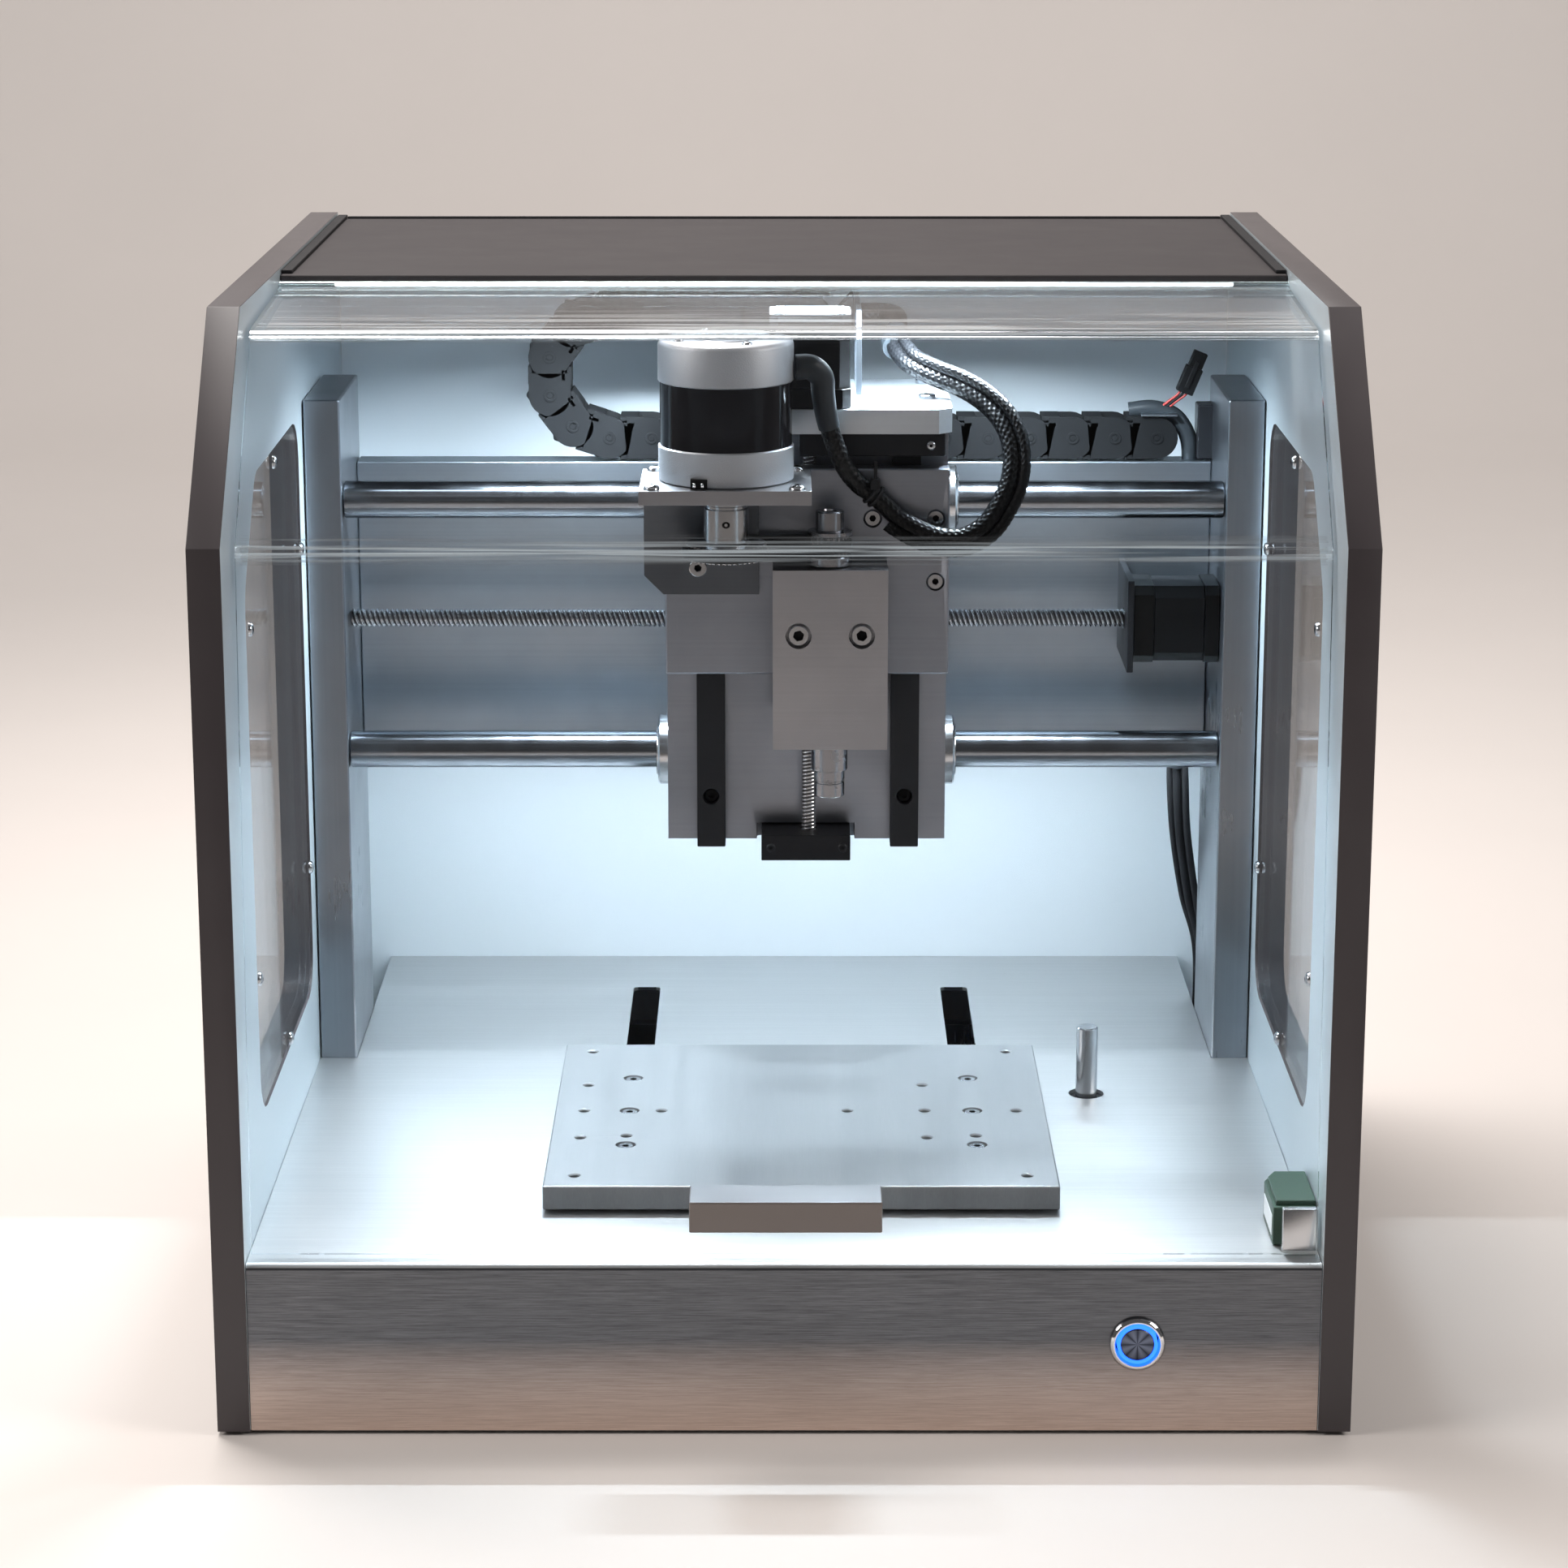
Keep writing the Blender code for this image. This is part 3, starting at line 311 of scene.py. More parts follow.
def face_milled():
    """The worktable: bright aluminium with the cutter's arcs and a faint banding between passes."""
    m = Shader("table_finish", (0.36, 0.37, 0.38), 0.7, 0.38)
    wave = m.nodes.new("ShaderNodeTexWave")
    wave.wave_type = "RINGS"
    wave.rings_direction = "Z"
    wave.inputs["Scale"].default_value = 160.0
    wave.inputs["Distortion"].default_value = 0.8
    mapping = m.nodes.new("ShaderNodeMapping")
    mapping.inputs["Location"].default_value = (0.0, 1.4, 0.0)
    mapping.inputs["Scale"].default_value = (1.0, 0.12, 1.0)
    m.link(m.coords, mapping.inputs["Vector"]).link(mapping.outputs["Vector"], wave.inputs["Vector"])
    bands = m.noise((60.0, 3.0, 3.0), 3.0, 0.6)
    lines = m.noise((1900.0, 40.0, 400.0), 3.0, 0.6)
    body = m.math("ADD", m.math("MULTIPLY", bands, 0.6), m.math("MULTIPLY", lines, 0.4))
    m.shade(m.ramp(body, 0.35, 0.65), 0.88, 1.08)
    m.rough(m.ramp(body, 0.35, 0.65, 0.3, 0.42))
    m.bump(m.math("ADD", lines, m.math("MULTIPLY", wave.outputs["Fac"], 0.5)), 0.000015)
    return m.made


def glowing(name, color, strength):
    m = Shader(name, color, 0.0, 0.4)
    m.out.inputs["Emission Color"].default_value = (*color, 1.0)
    m.out.inputs["Emission Strength"].default_value = strength
    m.shade(m.noise(30.0), 0.95, 1.0)
    return m.made


def spun_cap():
    """Polished button cap, lighter and darker in eight sectors round its centre: a painted sheen of spun
    lines.
    """
    m = Shader("button_cap_painted_sheen_finish", (0.07, 0.08, 0.11), 1.0, 0.3)
    centre = at(*BUTTON)
    place = m.nodes.new("ShaderNodeSeparateXYZ")
    m.link(m.coords, place.inputs[0])
    dx = m.math("SUBTRACT", place.outputs["X"], centre.x)
    dz = m.math("SUBTRACT", place.outputs["Z"], centre.z)
    # painted sheen: the base colour swings between half and more than twice itself with the angle round the
    # centre
    angle = m.math("MULTIPLY", m.math("ARCTAN2", dz, dx), 4.0)
    painted_sheen_sectors = m.math("ABSOLUTE", m.math("SINE", angle))
    m.shade(painted_sheen_sectors, 0.5, 2.2)
    return m.made


BUTTON = (168.2, 0.0, -39.8)
SETTER = (161.8, 256.5)
SPINDLE = (23.6, 248.0)
SPINDLE_MOTOR = (-29.5, 233.0)

LOOK = {
    "panel": side_panel_finish(),
    "deck": brushed("deck_finish", (0.66, 0.66, 0.66), 0.38),
    # front: brushed sheet whose colour holds a painted reflection of the floor
    "front": front_sheet(),
    # bend: a lighter copy of the deck's brushed metal, a painted highlight along the deck's front bend
    "bend": brushed("bend_painted_highlight_finish", (0.85, 0.88, 0.9), 0.4),
    "lid": grainy("lid_finish", (0.04, 0.036, 0.038), 0.0, 0.6, 2500.0, 0.000004, 0.03),
    "milled": milled("milled_finish", (0.36, 0.4, 0.45), 0.28),
    "beam": milled("beam_finish", (0.34, 0.38, 0.42), 0.34, "X"),
    "column": milled("column_finish", (0.28, 0.3, 0.33), 0.3),
    "block": milled("block_finish", (0.3, 0.32, 0.36), 0.36, "X"),
    # a darker copy of milled aluminium for the bracket's web: painted shade under the flange
    "painted_shade_plate": milled("painted_shade_plate_finish", (0.12, 0.13, 0.145), 0.4, "X"),
    "table": face_milled(),
    "blasted": grainy("blasted_finish", (0.46, 0.475, 0.5), 0.9, 0.5, 1500.0, 0.00012),
    "handle": grainy("handle_finish", (0.2, 0.178, 0.168), 0.7, 0.42, 1600.0, 0.00003),
    # a lighter copy for the handle's top faces: painted highlight where light falls from above
    "handle_top_painted_highlight": grainy("handle_top_painted_highlight_finish", (0.36, 0.37, 0.39), 0.7, 0.4, 1600.0, 0.00001),
    "shaft": polished("shaft_finish", (0.27, 0.29, 0.32), 0.16),
    "chrome": polished("chrome_finish", (0.7, 0.71, 0.73), 0.06),
    "steel": polished("steel_finish", (0.62, 0.63, 0.65), 0.2),
    "screw": polished("thread_finish", (0.75, 0.75, 0.76), 0.22),
    # near-black colour for the thread's valleys: painted shade in the grooves
    "valley_shade": grainy("thread_valley_shade_finish", (0.09, 0.09, 0.095), 0.8, 0.4, 500.0, 0.00001),
    "fastener": polished("fastener_finish", (0.55, 0.56, 0.58), 0.18),
    "black": grainy("black_metal_finish", (0.02, 0.021, 0.024), 0.5, 0.38, 900.0, 0.00003),
    "rail": grainy("rail_finish", (0.028, 0.03, 0.034), 0.6, 0.36, 1200.0, 0.00002),
    "gloss": grainy("motor_band_finish", (0.012, 0.012, 0.014), 0.0, 0.12, 300.0, 0.000004),
    "laminate": grainy("laminate_finish", (0.008, 0.0085, 0.0095), 0.2, 0.45, 500.0, 0.00001),
    "motor_cap": grainy("motor_cap_finish", (0.006, 0.0065, 0.007), 0.2, 0.34, 500.0, 0.000006),
    "plate": milled("top_plate_finish", (0.66, 0.7, 0.74), 0.42, "X"),
    "nose": polished("spindle_finish", (0.34, 0.34, 0.36), 0.24),
    "cheek": milled("cheek_finish", (0.42, 0.42, 0.44), 0.34, "X"),
    "chain": grainy("chain_finish", (0.005, 0.0052, 0.0058), 0.0, 0.5, 1400.0, 0.00001),
    "rubber": grainy("rubber_finish", (0.018, 0.018, 0.02), 0.0, 0.7, 900.0, 0.00006),
    "shrink": grainy("heat_shrink_finish", (0.022, 0.026, 0.03), 0.0, 0.4, 400.0, 0.00002),
    "braid": grainy("braid_finish", (0.004, 0.0042, 0.0048), 0.0, 0.3, 2500.0, 0.00001),
    "white": grainy("white_panel_finish", (0.8, 0.84, 0.87), 0.0, 0.45, 900.0, 0.00001, 0.02),
    "green": grainy("green_finish", (0.018, 0.052, 0.03), 0.0, 0.5, 700.0, 0.00005),
    "label": grainy("label_finish", (0.75, 0.77, 0.78), 0.0, 0.5, 700.0, 0.00002),
    # door: the bright wavy lines at its two bends are a painted highlight
    "clear": clear_sheet("door_finish", (0.86, 0.88, 0.9), 0.004, 0.36, ((337, 7.0, 0.8), (427, 3.5, 0.7))),
    "pane": clear_sheet("pane_finish", (0.7, 0.75, 0.78), 0.04, 0.7),
    "clear_edge": clear_sheet("clear_edge_finish", (0.85, 0.95, 0.97), 0.45, 0.9),
    "lamp": glowing("lamp_finish", (0.78, 0.9, 1.0), 7.0),
    "ring": glowing("ring_finish", (0.012, 0.11, 1.0), 3.2),
    "red": grainy("red_wire_finish", (0.35, 0.03, 0.025), 0.0, 0.45, 500.0, 0.00002),
    "cap": spun_cap(),
    # near black: painted shade in screw recesses, hole floors, slots and openings, and the black of the motor
    # terminal
    "hole": grainy("hole_painted_shade_and_black_finish", (0.008, 0.008, 0.009), 0.3, 0.6, 500.0, 0.00002),
}

# ---------------------------------------------------------------- mesh helpers


def round_edges(piece, width, segments=2):
    """Break a piece's sharp edges, in millimetres."""
    rounder = piece.modifiers.new("edge_break", "BEVEL")
    rounder.width = width * MM
    rounder.segments = segments
    rounder.limit_method = "ANGLE"
    rounder.angle_limit = math.radians(32)
    rounder.harden_normals = True


def add_piece(name, shape, look, body, slot, replaces=(), bevel=0.0, segments=2, smooth=35):
    """A finished bmesh, in metres in the row frame, as a named piece on its body."""
    bmesh.ops.recalc_face_normals(shape, faces=shape.faces)
    mesh = bpy.data.meshes.new(name)
    shape.to_mesh(mesh)
    shape.free()
    piece = bpy.data.objects.new(name, mesh)
    bpy.context.scene.collection.objects.link(piece)
    mesh.materials.append(LOOK[look])
    mesh.shade_smooth()
    mesh.set_sharp_from_angle(angle=math.radians(smooth))
    if bevel:
        round_edges(piece, bevel, segments)
    if body:
        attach(piece, body)
    if replaces:
        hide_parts(*replaces)
    return piece


def solid_box(shape, low, high):
    """Add a block between two corners in machine millimetres."""
    low, high = at(*low), at(*high)
    made = bmesh.ops.create_cube(shape, size=1.0)["verts"]
    bmesh.ops.scale(shape, vec=high - low, verts=made)
    bmesh.ops.translate(shape, vec=(low + high) / 2, verts=made)
    return made


def block(name, low, high, look, body, slot, replaces=(), bevel=0.4):
    shape = bmesh.new()
    solid_box(shape, low, high)
    return add_piece(name, shape, look, body, slot, replaces, bevel)


def circle(a, b, radius, sides=32, start=0.0):
    return [(a + radius * math.cos(start + TURN * i / sides), b + radius * math.sin(start + TURN * i / sides))
            for i in range(sides)]


def along(axis, a, b, t):
    """A point from its place in the section and along the axis, as in the CAD: X has Y, Z in section."""
    return {"X": (t, a, b), "Y": (a, t, b), "Z": (a, b, t)}[axis]


def extrude(shape, axis, outline, ends, holes=()):
    """Push an outline with holes along an axis, from one end to the other."""
    loops = [outline, *holes]
    rows = [[shape.verts.new(at(*along(axis, a, b, t))) for loop in loops for a, b in loop] for t in ends]
    flat = [[Vector((a, b, 0)) for a, b in loop] for loop in loops]
    for corners in geometry.tessellate_polygon(flat):
        for row in rows:
            shape.faces.new([row[i] for i in corners])
    first = 0
    for loop in loops:
        for i in range(len(loop)):
            a, b = first + i, first + (i + 1) % len(loop)
            shape.faces.new([rows[0][a], rows[0][b], rows[1][b], rows[1][a]])
        first += len(loop)


def lathe(shape, axis, centre, profile, sides=48, closed=False, start=0.0, bumps=None):
    """Spin (radius, position) pairs about an axis through the centre; bumps(angle, t) scales a radius."""
    rings = []
    for radius, t in profile:
        if radius == 0:
            rings.append([shape.verts.new(at(*along(axis, centre[0], centre[1], t)))])
            continue
        ring = []
        for i in range(sides):
            angle = start + TURN * i / sides
            r = radius * (bumps(angle, t) if bumps else 1.0)
            ring.append(shape.verts.new(at(*along(
                axis, centre[0] + r * math.cos(angle), centre[1] + r * math.sin(angle), t))))
        rings.append(ring)
    pairs = list(zip(rings, rings[1:])) + ([(rings[-1], rings[0])] if closed else [])
    for low, high in pairs:
        for i in range(sides):
            j = (i + 1) % sides
            if len(low) == 1:
                shape.faces.new([low[0], high[i], high[j]])
            elif len(high) == 1:
                shape.faces.new([low[i], low[j], high[0]])
            else:
                shape.faces.new([low[i], low[j], high[j], high[i]])


def turned(name, axis, centre, profile, look, body, slot, replaces=(), sides=48, closed=False, smooth=35):
    shape = bmesh.new()
    lathe(shape, axis, centre, profile, sides, closed)
    return add_piece(name, shape, look, body, slot, replaces, smooth=smooth)


def dress(node, look, slot=None, bevel=0.5, segments=2, cutters=()):
    """Stand a finely bevelled copy in for a CAD node, with any holes cut into it."""
    source = frame["nodes"][node]
    shape = bmesh.new()
    shape.from_mesh(source.data)
    bmesh.ops.remove_doubles(shape, verts=shape.verts, dist=1e-6)
    bmesh.ops.dissolve_limit(shape, angle_limit=math.radians(1), verts=shape.verts, edges=shape.edges)
    body = source["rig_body"]
    slot = slot or next(s["material_slot"] for s in frame["record"]["subparts"] if s["node"] == node)
    piece = add_piece(node + "_skin", shape, look, None, slot, (), 0)
    for cutter in cutters:
        cut_from(piece, cutter)
    if bevel:
        round_edges(piece, bevel, segments)
    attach(piece, body)
    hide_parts(node)
    return piece


def cut_from(piece, shape):
    """Subtract a bmesh of closed bodies from a piece, at once."""
    bmesh.ops.recalc_face_normals(shape, faces=shape.faces)
    mesh = bpy.data.meshes.new("cutter")
    shape.to_mesh(mesh)
    shape.free()
    cutter = bpy.data.objects.new("cutter", mesh)
    bpy.context.scene.collection.objects.link(cutter)
    step = piece.modifiers.new("cut", "BOOLEAN")
    step.operation = "DIFFERENCE"
    step.object = cutter
    step.solver = "EXACT"
    bpy.context.view_layer.update()
    ready = piece.evaluated_get(bpy.context.evaluated_depsgraph_get())
    cut = bpy.data.meshes.new_from_object(ready)
    piece.modifiers.remove(step)
    piece.data = cut
    cut.shade_smooth()
    cut.set_sharp_from_angle(angle=math.radians(30))
    bpy.data.objects.remove(cutter)


def counterbore(shape, axis, centre, radius, face, floor):
    """A round pocket from a face to its floor, run past the face so that it cuts cleanly."""
    over = 2.0 if face > floor else -2.0
    lathe(shape, axis, centre, ((0, floor), (radius, floor), (radius, face + over), (0, face + over)), 32)


def socket_profile(face, out, radius, height, crown):
    """Head of a screw from its seat at face, standing out along +1 or -1."""
    top = face + out * height
    edge = 0.35
    if crown:
        steps = 5
        turns = [i / steps * math.pi / 2 for i in range(steps + 1)]
        arc = [(radius * math.cos(turn * 0.8), face + out * height * math.sin(turn)) for turn in turns]
        return [(0, face), *arc]
    return [(0, face), (radius - 0.2, face), (radius, face + out * 0.2), (radius, top - out * edge),
            (radius - edge, top)]


def screw_head(name, axis, centre, face, out, radius, height, hex_size, body, crown=False, turn=0.3,
               look="fastener", slot="machined_steel"):
    """A socket screw's head with its hexagon recess. centre is its place in the section."""
    shape = bmesh.new()
    profile = socket_profile(face, out, radius, height, crown)
    lathe(shape, axis, centre, profile, 32)
    top_t = profile[-1][1]
    rim = [v for v in shape.verts if abs((v.co - at(*along(axis, *centre, top_t))).dot(
        (at(*along(axis, *centre, 1)) - at(*along(axis, *centre, 0))).normalized())) < 1e-7]
    rim = sorted(rim, key=lambda v: angle_of(v.co, axis, centre))
    hexagon = []
    for i in range(len(rim)):
        angle = angle_of(rim[i].co, axis, centre)
        sector = (angle - turn) % (TURN / 6) - TURN / 12
        reach = hex_size / 2 / math.cos(sector)
        a = centre[0] + reach * math.cos(angle)
        b = centre[1] + reach * math.sin(angle)
        hexagon.append((a, b))
    depth = min(height * 0.6, 2.6)
    upper = [shape.verts.new(at(*along(axis, a, b, top_t))) for a, b in hexagon]
    lower = [shape.verts.new(at(*along(axis, a, b, top_t - out * depth))) for a, b in hexagon]
    # the recess walls and floor take the hole colour: painted shade in the recess
    for ring_a, ring_b, index in ((rim, upper, 0), (upper, lower, 1)):
        for i in range(len(rim)):
            j = (i + 1) % len(rim)
            shape.faces.new([ring_a[i], ring_a[j], ring_b[j], ring_b[i]]).material_index = index
    shape.faces.new(lower).material_index = 1
    head = add_piece(name, shape, look, body, slot)
    head.data.materials.append(LOOK["hole"])
    return head


def angle_of(co, axis, centre):
    """Angle of a point about an axis line through the centre."""
    local = (co - at(0, 0, 0)) / MM
    a, b = {"X": (local.y, local.z), "Y": (local.x, local.z), "Z": (local.x, local.y)}[axis]
    return math.atan2(b - centre[1], a - centre[0]) % TURN


def smooth_route(points, step):
    """Even steps along a Catmull-Rom curve through the points."""
    knots = [Vector(p) for p in points]
    knots = [2 * knots[0] - knots[1], *knots, 2 * knots[-1] - knots[-2]]
    fine = []
    for i in range(1, len(knots) - 2):
        p0, p1, p2, p3 = knots[i - 1:i + 3]
        for k in range(12):
            t = k / 12
            fine.append(0.5 * (2 * p1 + (p2 - p0) * t + (2 * p0 - 5 * p1 + 4 * p2 - p3) * t * t
                               + (3 * p1 - p0 - 3 * p2 + p3) * t ** 3))
    fine.append(knots[-2])
    lengths = [0.0]
    for a, b in zip(fine, fine[1:]):
        lengths.append(lengths[-1] + (b - a).length)
    count = max(round(lengths[-1] / step), 2)
    even, seen = [], 0
    for i in range(count + 1):
        want = lengths[-1] * i / count
        while seen < len(fine) - 2 and lengths[seen + 1] < want:
            seen += 1
        share = (want - lengths[seen]) / (lengths[seen + 1] - lengths[seen])
        even.append(fine[seen].lerp(fine[seen + 1], share))
    return even, lengths[-1]


def frames(path):
    """Each point of a path with two directions across it that don't twist along it."""
    normal = None
    for i, point in enumerate(path):
        ahead = (path[min(i + 1, len(path) - 1)] - path[max(i - 1, 0)]).normalized()
        if normal is None:
            normal = ahead.orthogonal().normalized()
        normal = (normal - ahead * normal.dot(ahead)).normalized()
        yield point, normal, ahead.cross(normal)


def skin(shape, rings):
    """Join rings of as many corners each, and close both ends."""
    for low, high in zip(rings, rings[1:]):
        for k in range(len(low)):
            j = (k + 1) % len(low)
            shape.faces.new([low[k], low[j], high[j], high[k]])
    shape.faces.new(rings[0])
    shape.faces.new(rings[-1])


def sweep(shape, path, radius, sides=16):
    """A closed tube along points in machine millimetres; radius may be a function of 0..1."""
    rings = []
    for i, (point, normal, side) in enumerate(frames(path)):
        r = radius(i / (len(path) - 1)) if callable(radius) else radius
        rings.append([shape.verts.new(at(*(point + r * (normal * math.cos(TURN * k / sides)
                                                          + side * math.sin(TURN * k / sides)))))
                      for k in range(sides)])
    skin(shape, rings)


def wire(name, points, radius, look, body, slot="chain_plastic", step=2.5, sides=10):
    shape = bmesh.new()
    sweep(shape, smooth_route(points, step)[0], radius, sides)
    return add_piece(name, shape, look, body, slot, smooth=60)


def thread(name, axis, centre, ends, radius, depth, pitch, starts, look, body, slot, replaces):
    """A threaded rod whose crests run round it as a helix."""
    shape = bmesh.new()
    sides, per_pitch = 24, 8
    count = round((ends[1] - ends[0]) / pitch * per_pitch)
    rings = []
    for i in range(count + 1):
        t = ends[0] + (ends[1] - ends[0]) * i / count
        ring = []
        for k in range(sides):
            angle = TURN * k / sides
            phase = ((t - ends[0]) / pitch - starts * angle / TURN) % 1.0
            crest = min(1.0, max(0.0, 1.7 - abs(phase - 0.5) * 5.2))
            r = radius - depth * (1 - crest)
            ring.append(shape.verts.new(at(*along(
                axis, centre[0] + r * math.cos(angle), centre[1] + r * math.sin(angle), t))))
        rings.append(ring)
    skin(shape, rings)
    # faces deep in the groove take the valley colour: painted shade
    floor = (radius - 0.75 * depth) * MM
    centre_line = at(*along(axis, *centre, 0))
    keep = Vector([0.0 if k == axis else 1.0 for k in "XYZ"])
    for face in shape.faces:
        if ((face.calc_center_median() - centre_line) * keep).length < floor:
            face.material_index = 1
    rod_piece = add_piece(name, shape, look, body, slot, replaces, smooth=25)
    rod_piece.data.materials.append(LOOK["valley_shade"])
    return rod_piece


# ---------------------------------------------------------------- camera, floor and light

CAMERA_AT = (0, -1792, 681.5)
CAMERA_TILT = 14.0
LENS = 92.24


def add_camera():
    data = bpy.data.cameras.new("camera")
    data.lens = LENS
    data.sensor_width = 36.0
    data.clip_end = 20.0
    camera = bpy.data.objects.new("camera", data)
    camera.location = at(*CAMERA_AT)
    camera.rotation_euler = (math.radians(90 - CAMERA_TILT), 0, 0)
    bpy.context.scene.collection.objects.link(camera)
    bpy.context.scene.camera = camera


def area_light(name, place, aim, size, power, color, spread):
    data = bpy.data.lights.new(name, "AREA")
    data.shape = "RECTANGLE"
    data.size, data.size_y = size
    data.energy = power
    data.spread = math.radians(spread)
    data.color = color
    light = bpy.data.objects.new(name, data)
    light.location = Vector(place)
    light.rotation_euler = (Vector(aim) - light.location).to_track_quat("-Z", "Y").to_euler()
    bpy.context.scene.collection.objects.link(light)
    return light


def add_stage():
    """A pale floor that curves up into a pale wall."""
    shape = bmesh.new()
    radius, wall_y, half = 0.9, 3.5, 9.0
    profile = [(-9.0, 0.0), (wall_y - radius, 0.0)]
    profile += [(wall_y - radius + radius * math.sin(a), radius - radius * math.cos(a))
                for a in (math.radians(step * 7.5) for step in range(1, 13))]
    profile.append((wall_y, 4.0))
    rows = [[shape.verts.new((x, y, z)) for x in (-half, half)] for y, z in profile]
    for low, high in zip(rows, rows[1:]):
        shape.faces.new([low[0], low[1], high[1], high[0]])
    mesh = bpy.data.meshes.new("floor")
    shape.to_mesh(mesh)
    shape.free()
    mesh.shade_smooth()
    floor = bpy.data.objects.new("floor", mesh)
    bpy.context.scene.collection.objects.link(floor)
    m = Shader("floor_finish", (0.66, 0.62, 0.59), 0.0, 0.6)
    m.shade(m.noise(3.0), 0.97, 1.03)
    mesh.materials.append(m.made)
    world = bpy.data.worlds.new("studio")
    bpy.context.scene.world = world
    world.use_nodes = True
    world.node_tree.nodes["Background"].inputs["Color"].default_value = (1.0, 0.96, 0.95, 1.0)
    world.node_tree.nodes["Background"].inputs["Strength"].default_value = 0.1
    bpy.context.scene.view_settings.view_transform = "Standard"
    area_light("top_light", (-0.5, 0.75, 2.3), (0, 0.0, 0), (1.5, 0.8), 18, (1.0, 0.95, 0.92), 90)
    area_light("wall_light", (0, 1.1, 2.8), (0, 3.0, 0.0), (4.0, 0.6), 60, (1.0, 0.96, 0.94), 140)
    area_light("left_light", (-1.9, -0.7, 1.3), (0.1, -0.35, 0), (1.0, 0.8), 7, (1.0, 0.95, 0.92), 90)
    area_light("right_light", (1.9, -0.7, 1.3), (-0.1, -0.35, 0), (1.0, 0.8), 7, (1.0, 0.95, 0.92), 90)
    low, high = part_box("led_strip")
    middle_y = (low.y + high.y) / 2 + 0.002
    area_light("work_light", (0, middle_y + 0.03, low.z - 0.003), (0, middle_y + 0.03, 0.1), (0.3, 0.01), 7.5,
               (0.76, 0.9, 1.0), 144)
    low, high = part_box("cross_beam")
    area_light("low_light", (0, high.y - 0.008, low.z - 0.003), (0, high.y + 0.01, 0.05), (0.46, 0.012), 0.75,
               (0.76, 0.9, 1.0), 170)


add_camera()

# ---------------------------------------------------------------- spindle cable

CABLE_ROUTE = (
    (6.0, 233.2, 394), (13.5, 233.6, 394), (19, 236.5, 388.5), (20, 240, 379), (22, 245, 366),
    (26, 249, 352.3), (31.5, 252, 339.5),
    (38.5, 254.5, 330.5), (46, 255.5, 325), (53, 256, 318.5), (60.4, 255, 312.2), (72.9, 252, 306),
    (83.5, 250, 303.4), (94, 250, 304.2), (104.3, 252, 310.4), (111.5, 256, 320.3),
    (116.2, 260, 330.2), (118, 265, 341), (116.6, 271, 352), (111.5, 278, 361.5), (103, 286, 369),
    (92, 294, 374.8), (79, 303, 379), (68, 314, 383), (62, 328, 387), (59, 345, 391),
    (60.5, 363, 395), (62, 381, 398.3), (60.5, 397, 399.8), (55, 405.5, 400), (48.5, 407, 400),
    (42.2, 407, 400),
)
CABLE_RADIUS = 5.0


def sleeve(shape, path, radius, strands, lay):
    """A braided tube: strands cross each other both ways round it, one lay length per turn."""
    sides = strands * 6
    run, rings = 0.0, []
    for i, (point, normal, side) in enumerate(frames(path)):
        if i:
            run += (point - path[i - 1]).length
        ring = []
        for k in range(sides):
            angle = TURN * k / sides
            one = abs(math.sin(strands * (angle + TURN * run / lay) / 2))
            two = abs(math.sin(strands * (angle - TURN * run / lay) / 2))
            r = radius - 0.9 + 0.9 * max(one, two) ** 3
            across = normal * math.cos(angle) + side * math.sin(angle)
            ring.append(shape.verts.new(at(*(point + r * across))))
        rings.append(ring)
    skin(shape, rings)


def add_cable():
    path, length = smooth_route(CABLE_ROUTE, 0.9)
    shape = bmesh.new()
    sleeve(shape, path, CABLE_RADIUS, 8, 30.0)
    cable = add_piece("cable_sleeve", shape, "braid", None, "braided_sleeve", smooth=80)
    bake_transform(cable)
    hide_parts("spindle_cable")
    shrink = bmesh.new()
    reach = round(len(path) * 46 / length)
    sweep(shrink, path[:reach], lambda t: 6.7 - 1.1 * t, 24)
    add_piece("heat_shrink", shrink, "shrink", "z_carriage", "braided_sleeve", smooth=60)
    return path


cable_path = add_cable()


# ---------------------------------------------------------------- enclosure

def add_enclosure():
    for node in ("left_side_panel", "right_side_panel"):
        dress(node, "panel", bevel=0.8)
    deck = dress("deck_pan", "deck", bevel=0)
    # the upright front faces take the brushed sheet with its painted floor reflection
    repaint(deck, "front", lambda way: way.y < -0.98)
    # the bend faces take the lighter copy: a painted highlight
    repaint(deck, "bend", lambda way: -0.98 <= way.y < -0.1 and way.z > 0.1)
    dress("back_panel", "white", bevel=0.3)
    dress("top_lid", "lid", bevel=0.5)
    dress("base_plate", "black", bevel=0.2)
    dress("control_box", "black", bevel=0.6)
    for node in ("left_foot_strip", "right_foot_strip"):
        dress(node, "rubber", bevel=0.4)
    dress("led_strip", "lamp", bevel=0.3)
    low, high = span("top_lid")
    for side, sign in (("left", -1), ("right", 1)):
        edge = sorted((sign * (high.x - 5.4), sign * (high.x - 0.1)))
        block(side + "_lid_strip", (edge[0], low.y + 6, high.z + 0.1), (edge[1], high.y - 0.5, high.z + 1.9),
              "rubber", "root", "foot_rubber")
    block("lid_rear_strip", (-high.x + 5.6, high.y - 4.5, high.z + 0.1),
          (high.x - 5.6, high.y - 0.5, high.z + 1.1), "rubber", "root", "foot_rubber")
    pane_screws = ((80, 117), (87, 289), (190, 52), (295, 115), (295, 289), (194, 352))
    wall = span("right_side_panel")[0].x
    for side, sign in (("left", -1), ("right", 1)):
        dress(side + "_side_window", "pane", bevel=0.15)
        for i, place in enumerate(pane_screws):
            screw_head(f"{side}_pane_screw_{i}", "X", place, sign * wall, -sign, 3.6, 2.2, 2.4, "root",
                       crown=True, turn=0.2 + i)


